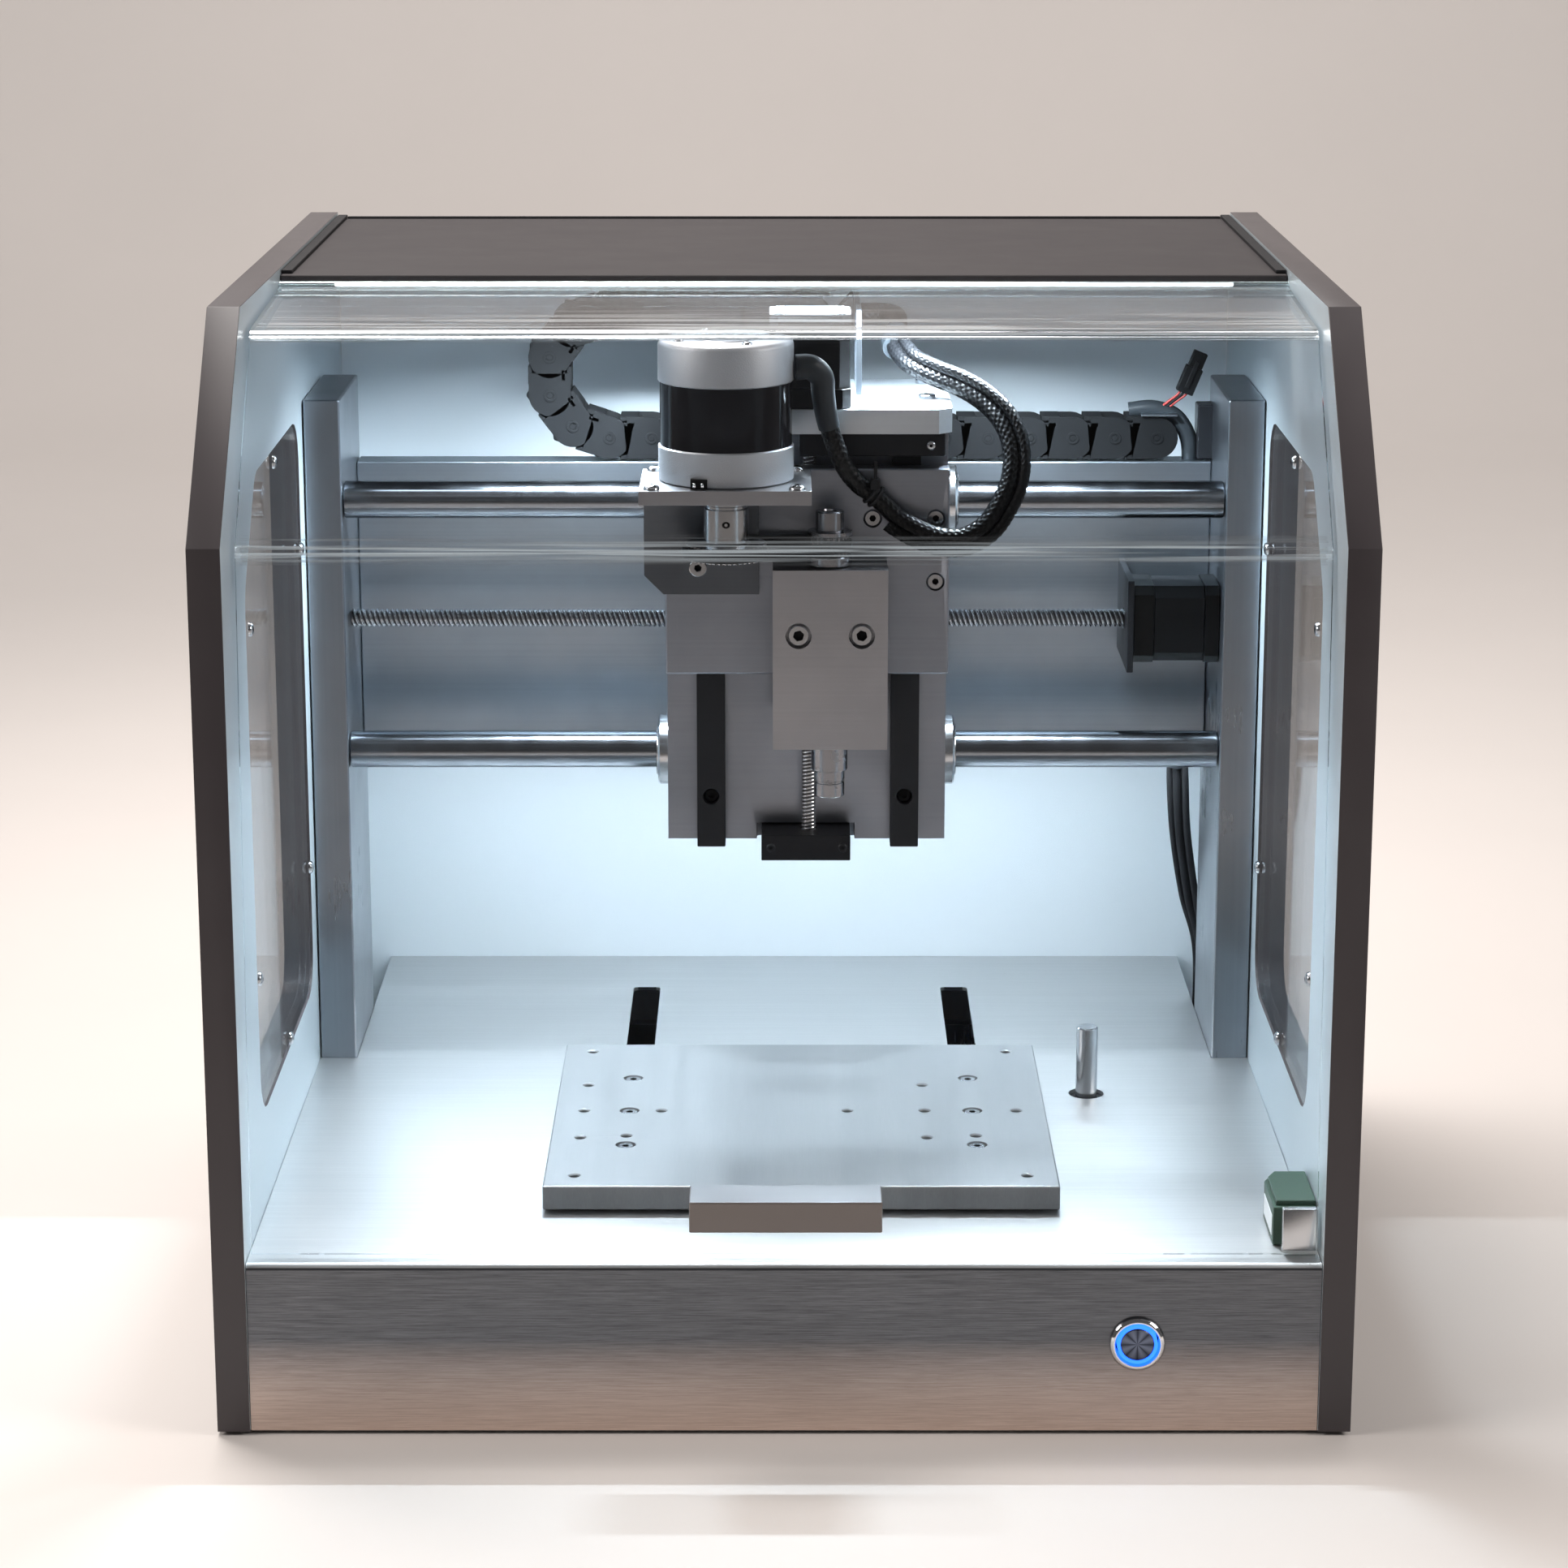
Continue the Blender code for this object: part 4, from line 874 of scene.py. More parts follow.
def add_rear():
    """Power inlet, switch, data socket, cooling slots and screws on the back panel."""
    face = span("back_panel")[1].y
    shape = bmesh.new()
    extrude(shape, "Y", [(-214, -66), (-158, -66), (-158, -20), (-214, -20)], (face + 0.1, face + 3.0),
            ([(-208, -56), (-182, -56), (-182, -36), (-187, -30), (-203, -30), (-208, -36)],))
    add_piece("power_inlet_frame", shape, "black", "root", "black_metal", bevel=0.6)
    # dark floor inside the inlet: painted shade
    block("power_inlet_floor", (-209, face + 0.1, -57), (-181, face + 0.7, -29), "hole", "root",
          "black_metal", bevel=0)
    for i, (x, z) in enumerate(((-201.5, -49), (-188.5, -49), (-195, -40))):
        block(f"power_pin_{i}", (x - 1, face + 0.6, z - 2.6), (x + 1, face + 2.4, z + 2.6), "steel", "root",
              "machined_steel", bevel=0.2)
    block("power_switch", (-177, face + 3.0, -56), (-164, face + 6.0, -31), "rail", "root", "black_metal",
          bevel=1.2)
    block("data_socket", (-136, face + 0.1, -50), (-123, face + 2.2, -38), "steel", "root", "machined_steel",
          bevel=0.5)
    # dark opening of the socket: painted shade
    block("data_socket_opening", (-133.5, face + 2.1, -48), (-125.5, face + 2.3, -40), "hole", "root",
          "black_metal", bevel=0)
    # cooling slots are flat dark strips on the panel: painted shade where the openings are
    for row in range(9):
        for column in range(2):
            x = 150 + 46 * column
            z = -66 + 6.5 * row
            shape = bmesh.new()
            extrude(shape, "Y", [(x - 18, z - 1.2), (x + 18, z - 1.2), (x + 18, z + 1.2), (x - 18, z + 1.2)],
                    (face + 0.02, face + 0.3))
            add_piece(f"cooling_slot_{row}_{column}", shape, "hole", "root", "black_metal")
    for i, (x, z) in enumerate(((-246, -76), (246, -76), (-246, 180), (246, 180), (-246, 428), (246, 428))):
        screw_head(f"rear_screw_{i}", "Y", (x, z), face, 1, 3.4, 2.0, 2.4, "root", True)


def repaint(piece, look, chosen):
    """Give the faces that are chosen by their normal another look."""
    piece.data.materials.append(LOOK[look])
    index = len(piece.data.materials) - 1
    for face in piece.data.polygons:
        if chosen(face.normal):
            face.material_index = index


def rounded_line(points, radius, steps=8):
    """An open line with each inner corner rounded."""
    out = [Vector(points[0])]
    for before, corner, after in zip(points, points[1:], points[2:]):
        corner = Vector(corner)
        to_last = (Vector(before) - corner).normalized()
        to_next = (Vector(after) - corner).normalized()
        half = to_last.angle(to_next) / 2
        reach = radius / math.tan(half)
        middle = corner + (to_last + to_next).normalized() * radius / math.sin(half)
        start = corner + to_last * reach - middle
        end = corner + to_next * reach - middle
        turn = math.copysign(math.pi - 2 * half, start.x * end.y - start.y * end.x)
        out += [middle + Matrix.Rotation(turn * i / steps, 2) @ start for i in range(steps + 1)]
    out.append(Vector(points[-1]))
    return out


def add_door():
    """The clear sheet with its two soft bends, its bright cut edges, and what is fixed to it."""
    low, high = span("window_sheet")
    line = rounded_line(((9.0, 2.0), (33.5, 338.0), (110.0, 428.0), (235.0, 434.4)), 9.0)
    half_thick = 1.5
    sides = ([], [])
    for i, point in enumerate(line):
        ahead = (line[min(i + 1, len(line) - 1)] - line[max(i - 1, 0)]).normalized()
        across = Vector((-ahead.y, ahead.x))
        sides[0].append(tuple(point + across * half_thick))
        sides[1].append(tuple(point - across * half_thick))
    shape = bmesh.new()
    extrude(shape, "X", sides[0] + sides[1][::-1], (low.x, high.x))
    door = add_piece("door_sheet", shape, "clear", "door", "clear_sheet", ("window_sheet",), 0.3, 2, 30)
    repaint(door, "clear_edge", lambda way: abs(way.x) > 0.9)
    handle = dress("door_handle", "handle", bevel=0.6)
    # faces that look up take the lighter copy: painted highlight
    repaint(handle, "handle_top_painted_highlight", lambda way: way.z > 0.8)
    dress("latch_plate", "steel", bevel=0.5)
    dress("hinge_rod", "clear_edge", bevel=0)


def rod(name, axis, centre, radius, ends, look, body, slot, replaces, break_edge=0.8):
    """A round bar with broken edges."""
    low, high = ends
    profile = ((0, low), (radius - break_edge, low), (radius, low + break_edge), (radius, high - break_edge),
               (radius - break_edge, high), (0, high))
    return turned(name, axis, centre, profile, look, body, slot, replaces, 64)


def middle(node, a, b):
    """Middle of a CAD node on two axes, in machine millimetres."""
    low, high = span(node)
    return tuple((low["XYZ".index(k)] + high["XYZ".index(k)]) / 2 for k in (a, b))


def stepper(name, axis, centre, ends, caps, body, node, slot="motor_black", flip=False):
    """A square stepper motor: ribbed stack between two caps, with tie screws in the corners."""
    low, high = ends
    cap_low, cap_high = caps
    half, cut = 21.15, 4.5

    def outline(shrink, corner):
        h = half - shrink
        return [(centre[0] + x, centre[1] + y) for x, y in (
            (h - corner, -h), (h, -h + corner), (h, h - corner), (h - corner, h),
            (corner - h, h), (-h, h - corner), (-h, corner - h), (corner - h, -h))]

    for part, stretch, shrink, corner, look in (
            ("front_cap", (low, low + cap_low), 0, cut, "motor_cap"),
            ("stack", (low + cap_low + 0.1, high - cap_high - 0.1), 0.5, cut + 1.2, "laminate"),
            ("rear_cap", (high - cap_high, high), 0, cut, "motor_cap")):
        shape = bmesh.new()
        extrude(shape, axis, outline(shrink, corner), stretch)
        add_piece(f"{name}_{part}", shape, look, body, slot, (node,), 0.5)
    out, sign = (low, -1) if flip else (high, 1)
    for i, (x, y) in enumerate(((-1, -1), (1, -1), (1, 1), (-1, 1))):
        screw_head(f"{name}_tie_screw_{i}", axis, (centre[0] + 15.5 * x, centre[1] + 15.5 * y), out, sign,
                   2.6, 0.25, 2.0, body)


def add_gantry():
    for node in ("left_column", "right_column"):
        dress(node, "column", bevel=1.1)
    dress("cross_beam", "beam", bevel=0.8)
    for node in ("upper_x_shaft", "lower_x_shaft"):
        low, high = span(node)
        rod(node + "_skin", "X", middle(node, "Y", "Z"), (high.z - low.z) / 2, (low.x, high.x), "shaft",
            "root", "polished_shaft", (node,))
    low, high = span("x_screw")
    thread("x_screw_thread", "X", middle("x_screw", "Y", "Z"), (low.x, high.x), 4.9, 1.0, 8 / 3, 3, "screw",
           "x_leadscrew", "screw_steel", ("x_screw",))
    low, high = span("x_motor")
    stepper("x_motor", "X", middle("x_motor", "Y", "Z"), (low.x, high.x), (11, 8), "root", "x_motor")
    dress("x_motor_bracket", "black", bevel=0.4)


def add_x_carriage():
    body = "x_carriage"
    dress("x_carriage_block", "block", bevel=0.5)
    for node, z in (("upper_linear_bearing", 309.3), ("lower_linear_bearing", 172.1)):
        low, high = span(node)
        for side, edge, out in (("left", low.x, 1), ("right", high.x, -1)):
            profile = ((10.3, edge), (14.2, edge), (14.6, edge + 0.6 * out), (17.9, edge + 0.6 * out),
                       (18.9, edge + 1.6 * out), (18.9, edge + 6.3 * out), (10.3, edge + 6.3 * out))
            turned(f"{node}_{side}_collar", "X", (330, z), profile, "steel", body, "brushed_aluminium",
                   (node,), 64, True)
            seal = ((10.1, edge + 0.5 * out), (13.6, edge + 0.5 * out), (13.6, edge - 0.3 * out),
                    (10.1, edge - 0.3 * out))
            turned(f"{node}_{side}_seal", "X", (330, z), seal, "rubber", body, "black_metal", (), 48, True)
    for node in ("left_z_rail", "right_z_rail"):
        low, high = span(node)
        x = (low.x + high.x) / 2
        shape = bmesh.new()
        groove = ((0, 3), (1.3, 4.6), (1.3, 6.4), (0, 8))
        section = [(low.x, low.y), (high.x, low.y), *((high.x - a, low.y + b) for a, b in groove),
                   (high.x, high.y), (low.x, high.y), *((low.x + a, low.y + b) for a, b in groove[::-1])]
        extrude(shape, "Z", section, (low.z, high.z))
        rail = add_piece(node + "_skin", shape, "rail", None, "black_metal", (node,))
        bores = bmesh.new()
        for z in (158, 238, 318):
            counterbore(bores, "Y", (x, z), 4.2, low.y, low.y + 6)
        cut_from(rail, bores)
        round_edges(rail, 0.5)
        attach(rail, body)
        for i, z in enumerate((158, 238, 318)):
            # the rail screws take the hole colour: painted shade in their counterbores
            screw_head(f"{node}_screw_{i}", "Y", (x, z), low.y + 6, -1, 3.5, 2.8, 3.0, body, look="hole",
                       slot="black_metal")
    dress("z_foot_bearing", "black", bevel=0.7)
    for i, x in enumerate((-7, 31)):
        screw_head(f"z_foot_screw_{i}", "Y", (x, 133), span("z_foot_bearing")[0].y, -1, 2.4, 1.2, 2.0, body,
                   look="rail", slot="black_metal")
    dress("z_top_plate", "plate", bevel=0.6)
    block("z_upper_block", (8, 265, 343.2), (83.6, 279, 355.1), "black", body, "black_metal", bevel=0.8)
    screw_head("z_upper_block_screw", "Y", (76, 349), 265, -1, 2.6, 1.6, 2.0, body, True)
    for i, (x, y) in enumerate(((-54, 300), (-54, 356), (75, 300), (75, 356))):
        screw_head(f"top_plate_screw_{i}", "Z", (x, y), 368, 1, 4.5, 2.4, 3.0, body)
    low, high = span("z_motor")
    stepper("z_motor", "Z", (13.5, 284), (low.z, high.z), (10, 9), body, "z_motor")
    thread("z_screw_thread", "Z", (13, 284), (span("z_screw")[0].z, span("z_screw")[1].z), 4.0, 0.7, 2.0, 2,
           "screw", "z_leadscrew", "screw_steel", ("z_screw",))
    dress("chain_end_plate", "milled", bevel=0.5)


def add_z_carriage():
    body = "z_carriage"
    pockets = bmesh.new()
    plate_front = span("z_plate")[0].y
    plate_screws = ((46, 311), (78.8, 311), (78.8, 277.6))
    for place in plate_screws:
        counterbore(pockets, "Y", place, 4.7, plate_front, plate_front + 4.4)
    dress("z_plate", "block", bevel=0.5, cutters=(pockets,))
    for i, place in enumerate(plate_screws):
        screw_head(f"z_plate_screw_{i}", "Y", place, plate_front + 4.4, -1, 4.1, 4.0, 3.2, body, turn=0.4 * i)
    for node in ("left_z_guide", "right_z_guide"):
        dress(node, "rail", bevel=0.5)
    pockets = bmesh.new()
    block_front = span("spindle_block")[0].y
    for x in (7.5, 40.1):
        counterbore(pockets, "Y", (x, 255), 6.7, block_front, block_front + 6.6)
    low, high = span("spindle_block")
    shape = bmesh.new()
    extrude(shape, "Z", [(low.x, low.y), (high.x, low.y), (high.x, high.y), (low.x, high.y)], (low.z, high.z),
            (circle(*SPINDLE, 8.3, 48),))
    cheek = add_piece("spindle_block_skin", shape, "cheek", None, "milled_aluminium", ("spindle_block",))
    cut_from(cheek, pockets)
    round_edges(cheek, 0.5)
    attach(cheek, body)
    for i, x in enumerate((7.5, 40.1)):
        screw_head(f"spindle_block_screw_{i}", "Y", (x, 255), block_front + 6.6, -1, 5.3, 6.0, 5.2, body,
                   turn=0.25 + 0.5 * i)
    bracket = dress("motor_bracket", "cheek", bevel=0.5)
    # faces below the flange take the darker copy: painted shade on the web
    bracket.data.materials.append(LOOK["painted_shade_plate"])
    for face in bracket.data.polygons:
        if face.center.z < at(0, 0, 330.1).z:
            face.material_index = 1
    for i, (x, y) in enumerate(((-66.5, 199.5), (6.5, 199.5), (6.5, 257), (-66.5, 257))):
        screw_head(f"flange_screw_{i}", "Z", (x, y), 337.2, 1, 4.2, 2.6, 2.6, body, True)
    screw_head("bracket_screw", "Y", (-44.6, 286.6), 257.6, -1, 4.6, 4.2, 3.6, body)
    add_spindle_motor(body)
    dress("drive_belt", "rubber", bevel=0.2)


def add_spindle_motor(body):
    """Brushless motor: blasted end rings, a gloss black band between them, and its small details."""
    centre = SPINDLE_MOTOR
    wide = 34.5
    low_ring = ((0, 337.4), (wide - 0.6, 337.4), (wide, 338), (wide, 354.6), (wide - 0.7, 355.3),
                (wide - 1.4, 355.3), (0, 355.3))
    band = ((0, 355.2), (wide - 0.9, 355.2), (wide - 0.9, 387.7), (0, 387.7))
    top_ring = ((0, 387.6), (wide - 0.7, 387.6), (wide, 388.2), (wide, 406.4), (wide - 0.5, 407.8),
                (wide - 1.6, 408.8), (wide - 3.0, 409.0), (17.0, 409.0), (16.4, 408.3), (0, 408.3))
    for name, profile, look in (("low_ring", low_ring, "blasted"), ("band", band, "gloss"),
                                ("top_ring", top_ring, "blasted")):
        turned("spindle_motor_" + name, "Z", centre, profile, look, body, "blasted_aluminium",
               ("spindle_motor",), 128)
    boss = ((0, 408.1), (15.4, 408.1), (15.4, 408.7), (14.8, 409.2), (6.5, 409.2), (6.0, 408.7), (0, 408.7))
    turned("spindle_motor_cap_disc", "Z", centre, boss, "cheek", body, "machined_steel", (), 64)
    for i in range(4):
        angle = TURN * (i / 4 + 0.07)
        place = (centre[0] + 26 * math.cos(angle), centre[1] + 26 * math.sin(angle))
        screw_head(f"motor_top_screw_{i}", "Z", place, 409.0, 1, 2.6, 1.5, 1.8, body, True)
    block("motor_terminal", (-47.0, 199.2, 337.5), (-38.5, 206, 342.2), "hole", body, "black_metal",
          bevel=0.3)
    for i, x in enumerate((-45, -41)):
        route = ((x, 199.6, 340), (x, 197.6, 340), (x, 196.6, 338.6))
        wire(f"motor_terminal_pin_{i}", route, 0.8, "steel", body, "machined_steel", 0.6, 8)


def toothed(teeth, depth, low, high):
    """Radius factor of a belt pulley's teeth between two heights."""
    def factor(angle, t):
        if not low < t < high:
            return 1.0
        phase = (angle * teeth / TURN) % 1.0
        return 1.0 - (depth if phase < 0.45 else 0.0)
    return factor


def add_spindle():
    shape = bmesh.new()
    edge = 9.5
    lathe(shape, "Z", SPINDLE, (
        (0, 168.5), (3.2, 168.5), (3.6, 167), (7.4, 167), (8.0, 167.6), (8.0, 174.2), (7.6, 174.6),
        (7.6, 175.4), (8.0, 175.8), (8.0, 181), (9.0, 181), (9.5, 181.5), (9.5, 193.9), (9.0, 194.4),
        (7.9, 194.4), (7.9, 289.8),
        (edge + 1.4, 289.8), (edge + 2, 290.4), (edge + 2, 294.4), (edge + 1.4, 295), (edge, 295.4),
        (edge, 295.5), (edge, 304.9), (edge + 1.4, 305.3), (edge + 2, 305.8), (edge + 2, 307.6), (8.4, 308.2),
        (7.5, 308.4), (7.5, 317.4), (6.9, 318), (4.2, 318), (3.8, 317.2), (0, 317.2)), 120,
        bumps=toothed(20, 0.13, 295.45, 305.0))
    add_piece("spindle_body", shape, "nose", "spindle_shaft", "machined_steel", ("spindle",), smooth=25)
    shape = bmesh.new()
    lathe(shape, "Z", SPINDLE_MOTOR, (
        (0, 296), (20.4, 296), (21, 296.4), (21, 303.6), (20.4, 304), (12.6, 304.2), (11.5, 305), (11.5, 322),
        (10.8, 322.6), (10.8, 323.6), (11.5, 324.2), (11.5, 336.8), (0, 336.8)), 176,
        bumps=toothed(44, 0.05, 296.3, 303.7))
    add_piece("motor_pulley_body", shape, "steel", "motor_shaft", "machined_steel", ("motor_pulley",),
              smooth=25)
    # the grub screw takes the hole colour: painted shade in its tapped hole
    screw_head("motor_pulley_grub", "Y", (-29.5, 315), 221.7, -1, 2.0, 0.3, 1.6, "motor_shaft", look="hole")


# ---------------------------------------------------------------- cable chain

CHAIN_LOW_Z = 319.8
CHAIN_HEIGHT = 24.0
CHAIN_Y = (396.0, 418.0)
BEND_X = -96.0
BEND_RADIUS = 34.0
LINK_PITCH = 23.5


def add_link(shape, start, end):
    """One chain link between two joints, given as (X, Z) on the chain's middle line."""
    start, end = Vector(start), Vector(end)
    ahead = (end - start).normalized()
    up = Vector((-ahead.y, ahead.x))
    length = (end - start).length
    half = CHAIN_HEIGHT / 2

    def put(outline, ends, holes=()):
        def world(points):
            return [tuple(start + ahead * a + up * b) for a, b in points]
        extrude(shape, "Y", world(outline), ends, [world(hole) for hole in holes])

    nose = [(length + half * 0.96 * math.cos(a), half * 0.96 * math.sin(a))
            for a in (math.pi * (i / 12 - 0.5) for i in range(13))]
    tail = [(-7.0 + 3 * math.sin(a), half * 0.9 * math.cos(a)) for a in (-math.pi * i / 8 for i in range(9))]
    front, rear = CHAIN_Y

    def across(left, right, low, high):
        """A rectangle about the link's middle."""
        left, right = length / 2 + left, length / 2 + right
        return [(left, low), (right, low), (right, high), (left, high)]

    slot = across(-3.6, 2.2, half - 5.4, half - 3.6)
    for low, high, inner_low, inner_high in ((front, front + 1.5, front + 1.4, front + 3.0),
                                             (rear - 1.5, rear, rear - 3.0, rear - 1.4)):
        put(nose + [(length * 0.42, half * 0.96), (length * 0.42, -half * 0.96)], (low, high), (slot,))
        put(tail + [(length * 0.6, -half * 0.9), (length * 0.6, half * 0.9)][::-1], (inner_low, inner_high))
    for side in (-1, 1):
        low, high = sorted((side * (half - 2.4), side * (half - 0.2)))
        put(across(-5.5, 4.5, low, high), (front + 1, rear - 1))
    put(circle(length, 0, 3.4, 20), (front - 0.5, front + 0.5), (circle(length, 0, 2.1, 20),))
    put(circle(length, 0, 1.5, 16), (front - 0.4, front + 0.5))


def chain_piece(name, joints, body, replaces):
    shape = bmesh.new()
    for start, end in zip(joints, joints[1:]):
        add_link(shape, start, end)
    return add_piece(name, shape, "chain", body, "chain_plastic", replaces, 0.35, 1)


def add_chain():
    low_z = CHAIN_LOW_Z + CHAIN_HEIGHT / 2
    high_z = low_z + 2 * BEND_RADIUS
    centre_z = low_z + BEND_RADIUS
    right = span("chain_lower_run")[1].x
    count = round((right - BEND_X) / LINK_PITCH)
    pitch = (right - 10 - BEND_X) / count
    joints = [(BEND_X + pitch * i, low_z) for i in range(count + 1)]
    lower = chain_piece("chain_lower_links", joints, None, ("chain_lower_run",))
    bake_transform(lower)
    bends = 5
    arc = [(BEND_X + BEND_RADIUS * math.cos(math.pi * (0.5 + i / bends)),
            centre_z + BEND_RADIUS * math.sin(math.pi * (0.5 + i / bends))) for i in range(bends + 1)]
    chain_piece("chain_bend_links", arc, "chain", ("chain_bend",))
    plate_x = span("chain_end_plate")[0].x
    count = round((plate_x - BEND_X) / LINK_PITCH)
    pitch = (plate_x - 8 - BEND_X) / count
    joints = [(BEND_X + pitch * i, high_z) for i in range(count, -1, -1)]
    upper = chain_piece("chain_upper_links", joints, None, ("chain_upper_run",))
    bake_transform(upper)
    block("chain_fixed_bracket", (196, 394.0, 343.9), (216, 419, 345.2), "milled", "root", "milled_aluminium")


# ---------------------------------------------------------------- loose wiring

def add_wiring():
    """The harness that leaves the chain's fixed end, its box, and the plug beside it with its wires."""
    body = "root"
    route = ((190, 406, 345.6), (203, 405, 347), (215, 404, 343), (222, 403, 333), (224, 404, 320),
             (224, 417.5, 300), (223.5, 419, 270), (223, 420, 200), (223, 425, 139))
    wire("harness_trunk", route, 4.6, "shrink", body)
    for i, (dx, dy, r) in enumerate(((0, 0, 2.4), (4.5, -2.0, 2.0), (2.5, 3.2, 1.8), (-3.5, 2.0, 2.0))):
        route = ((223 + dx * 0.4, 424 + dy * 0.5, 150), (223 + dx, 425 + dy, 138), (226 + dx, 432 + dy, 100),
                 (234 + dx, 448 + dy, 55 + dy), (243 + dx * 0.6, 466 + dy, 20),
                 (244 + dx * 0.5, 470 + dy, -30))
        wire(f"harness_tail_{i}", route, r, "rubber", body)
    block("harness_box", (227, 396, 320), (243, 412, 350), "black", body, "black_metal", bevel=1.0)
    plug = bmesh.new()
    solid_box(plug, (-4.8, -3.2, 0), (4.8, 3.2, 15))
    solid_box(plug, (-3.9, -2.6, 15), (3.9, 2.6, 24))
    solid_box(plug, (-1.4, -4.2, 3), (1.4, -3.0, 19))
    tilt = Matrix.Rotation(math.radians(22), 4, "Y")
    centre = at(0, 0, 0)
    for vertex in plug.verts:
        vertex.co = at(219.5, 400, 356.5) + tilt.to_3x3() @ (vertex.co - centre)
    add_piece("plug", plug, "chain", body, "chain_plastic", bevel=0.5)
    for i, (look, dx) in enumerate((("red", -2.2), ("rubber", 0.0), ("red", 2.2))):
        route = ((207 + dx, 404, 343), (209 + dx, 403, 347), (213.5 + dx, 401, 351.5),
                 (218.5 + dx, 400, 355.5), (220.6 + dx, 400, 360))
        wire(f"plug_wire_{i}", route, 0.75, look, body, step=1.2, sides=8)


def add_cable_fittings():
    """A thinner sleeve beside the first, the tie that holds it to the Z plate, and the wrap at the chain."""
    count = len(cable_path)
    near = cable_path[round(count * 0.27):round(count * 0.8)]
    beside = []
    for i, point in enumerate(near):
        ahead = (near[min(i + 1, len(near) - 1)] - near[max(i - 1, 0)]).normalized()
        out = Vector((0, -1, 0)) - ahead * ahead.dot(Vector((0, -1, 0)))
        beside.append(point + out.normalized() * 2.4 + ahead.cross(out).normalized() * 6.6)
    shape = bmesh.new()
    sleeve(shape, beside, 3.2, 6, 21.0)
    strand = add_piece("second_sleeve", shape, "braid", None, "braided_sleeve", smooth=80)
    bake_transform(strand)
    knot = min(range(count), key=lambda i: (cable_path[i] - Vector((46, 255.5, 325))).length)
    shape = bmesh.new()
    ahead = (cable_path[knot + 3] - cable_path[knot - 3]).normalized()
    normal = ahead.orthogonal().normalized()
    side = ahead.cross(normal)
    ring = [cable_path[knot] + 5.6 * (normal * math.cos(TURN * i / 28) + side * math.sin(TURN * i / 28))
            for i in range(28)]
    for r in (-1.6, 1.6):
        band = [p + ahead * r for p in ring]
        sweep(shape, band + band[:2], 1.0, 6)
    add_piece("cable_tie", shape, "rubber", "z_carriage", "chain_plastic", smooth=60)
    for part, low, high, bevel in (("lock", (44.5, 248.8, 328.5), (49.5, 253.5, 334.0), 0.4),
                                   ("tail", (46.2, 249.5, 333.6), (48.0, 251.0, 343.0), 0.2)):
        block("cable_tie_" + part, low, high, "rubber", "z_carriage", "chain_plastic", bevel=bevel)
    first = round(count * 0.79)
    shape = bmesh.new()
    sweep(shape, cable_path[first:first + round(count * 0.055)], lambda t: 7.4 - 0.8 * abs(t - 0.5), 18)
    add_piece("cable_wrap", shape, "shrink", "x_carriage", "braided_sleeve", smooth=60)


# ---------------------------------------------------------------- table and controls

TABLE_CORNERS = tuple((x, y) for x in (-103.6, 120.3) for y in (87.2, 286.8))
TABLE_HOLES = ((-103.2, 229.4), (72.8, 229.4), (-103.5, 187.2), (-63.5, 187.2), (32.8, 187.2), (72.8, 187.2),
               (120.3, 187.2), (-103.5, 144.8), (-80.2, 147.5), (72.6, 144.8), (97.6, 147.5))
TABLE_SCREWS = tuple((x, y) for x in (-80.0, 97.6) for y in (133.5, 187.2, 241.0))


def add_table():
    body = "table"
    top = span("worktable")[1].z
    holes = bmesh.new()
    for x, y in (*TABLE_CORNERS, *TABLE_HOLES):
        lathe(holes, "Z", (x, y), ((0, -2), (2.5, -2), (2.5, top - 0.7), (3.3, top + 0.1), (3.3, top + 2),
                                   (0, top + 2)), 24)
    for x, y in TABLE_SCREWS:
        counterbore(holes, "Z", (x, y), 5.1, top, top - 5.6)
    dress("worktable", "table", bevel=0.7, cutters=(holes,))
    for i, place in enumerate(TABLE_SCREWS):
        screw_head(f"table_screw_{i}", "Z", place, top - 5.6, 1, 4.2, 5.0, 3.4, body, turn=0.3 * i)
    # dark discs at the floors of the table's holes: painted shade
    for i, (x, y) in enumerate((*TABLE_CORNERS, *TABLE_HOLES)):
        shape = bmesh.new()
        lathe(shape, "Z", (x, y), ((0, 2.4), (2.45, 2.4), (2.45, 3.4), (0, 3.4)), 16)
        add_piece(f"table_hole_floor_{i}", shape, "hole", body, "table_aluminium")
    dress("y_saddle", "block", bevel=0.4)
    dress("y_front_block", "milled", bevel=0.4)
    dress("y_rear_block", "milled", bevel=0.4)
    for node in ("left_y_shaft", "right_y_shaft"):
        low, high = span(node)
        rod(node + "_skin", "Y", middle(node, "X", "Z"), (high.z - low.z) / 2, (low.y, high.y), "shaft",
            "root", "polished_shaft", (node,))
    low, high = span("y_screw")
    thread("y_screw_thread", "Y", middle("y_screw", "X", "Z"), (low.y, high.y), 4.9, 0.8, 8 / 3, 3, "screw",
           "y_leadscrew", "screw_steel", ("y_screw",))
    low, high = span("y_motor")
    stepper("y_motor", "Y", middle("y_motor", "X", "Z"), (low.y, high.y), (9, 9), "root", "y_motor",
            flip=True)


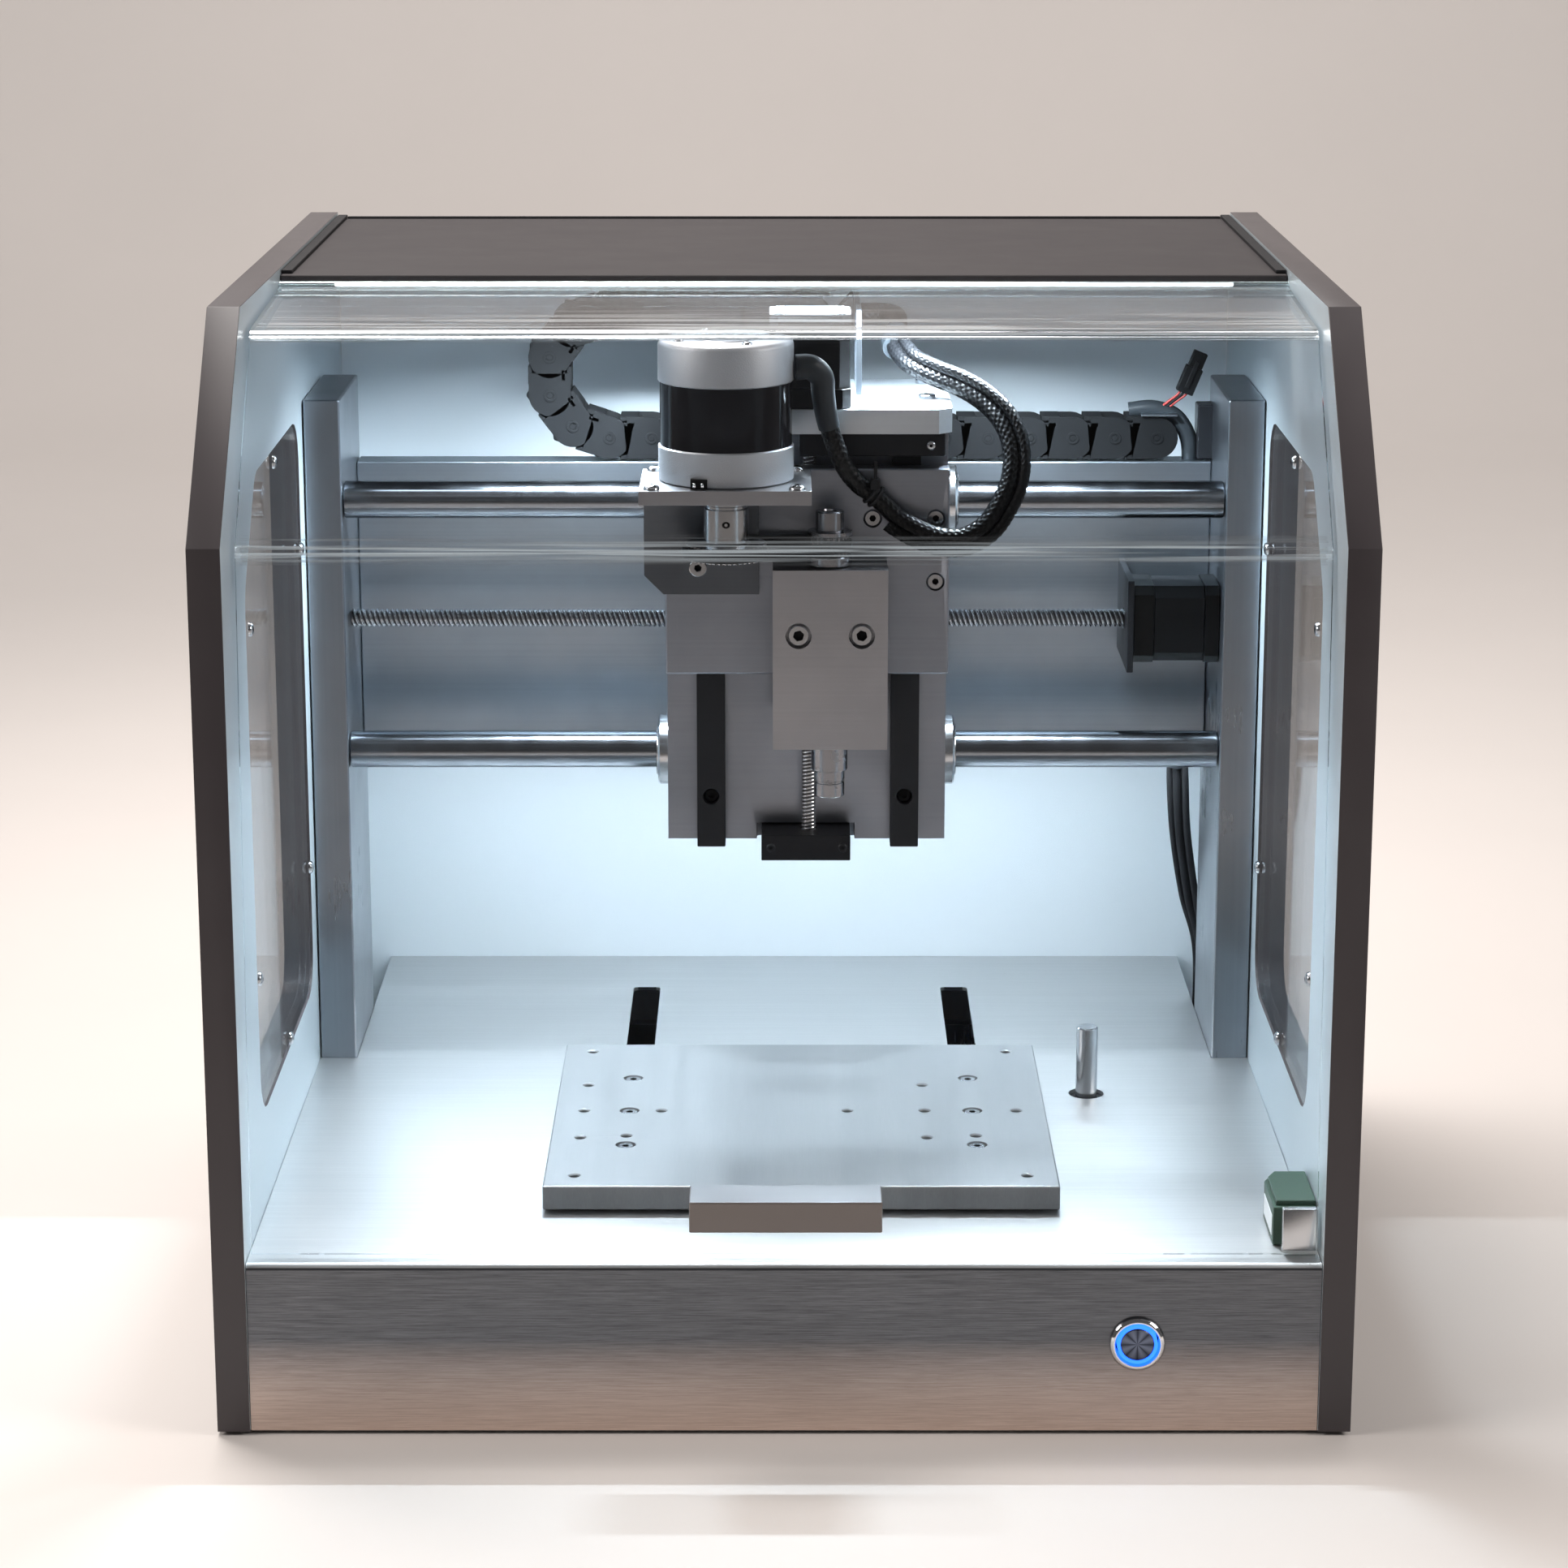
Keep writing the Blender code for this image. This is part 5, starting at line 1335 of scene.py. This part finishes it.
def add_controls():
    centre = (BUTTON[0], BUTTON[2])
    rim = ((10.5, -2.2), (10.9, -2.9), (11.6, -3.0), (12.6, -2.4), (13.4, -1.2), (13.4, -0.3), (10.9, -0.3),
           (10.9, 18), (10.5, 18))
    turned("button_rim", "Y", centre, rim, "chrome", "root", "machined_steel", ("button_bezel",), 96, True)
    ring = ((8.1, -1.9), (9.7, -1.9), (9.7, 6), (8.1, 6))
    turned("button_ring", "Y", centre, ring, "ring", "button", "machined_steel", (), 96, True)
    cap = ((0, -1.7), (6.8, -2.0), (7.5, -2.2), (8.0, -1.8), (8.0, 6), (0, 6))
    turned("button_cap_disc", "Y", centre, cap, "cap", "button", "machined_steel", ("button_cap",), 96)
    low, high = span("setter_pin")
    pin = ((0, low.z), (5.7, low.z), (5.7, high.z - 0.7), (5.0, high.z), (0, high.z))
    turned("setter_pin_skin", "Z", SETTER, pin, "steel", "setter", "machined_steel", ("setter_pin",), 64)
    collar = ((6.1, -2.4), (9.2, -2.4), (9.2, -3.4), (6.1, -3.4))
    turned("setter_collar", "Z", SETTER, collar, "black", "root", "black_metal", (), 48, True)
    low, high = span("setter_body")
    cup = ((0, low.z), (13.2, low.z), (14, low.z + 0.8), (14, high.z - 1.3), (6.0, high.z - 1.3), (6.0, -46),
           (0, -46))
    turned("setter_body_skin", "Z", SETTER, cup, "black", "root", "black_metal", ("setter_body",), 64)
    low, high = span("interlock_switch")
    shape = bmesh.new()
    outline = ((low.x, low.y), (high.x, low.y), (high.x, high.y), (low.x + 4.5, high.y), (low.x, high.y - 9))
    extrude(shape, "Z", outline, (low.z, high.z - 2.5))
    step = ((low.x + 1.5, low.y + 3), (high.x, low.y + 3), (high.x, high.y - 2), (low.x + 5.5, high.y - 2),
            (low.x + 1.5, high.y - 10))
    extrude(shape, "Z", step, (high.z - 2.6, high.z))
    add_piece("interlock_body", shape, "green", "root", "green_plastic", ("interlock_switch",), 0.7)
    block("interlock_label", (low.x - 0.25, low.y + 4, 4), (low.x + 0.1, high.y - 12, 14), "label", "root",
          "green_plastic", bevel=0)


add_enclosure()
add_rear()
add_door()
add_gantry()
add_x_carriage()
add_z_carriage()
add_spindle()
add_chain()
add_wiring()
add_cable_fittings()
add_table()
add_controls()
add_stage()
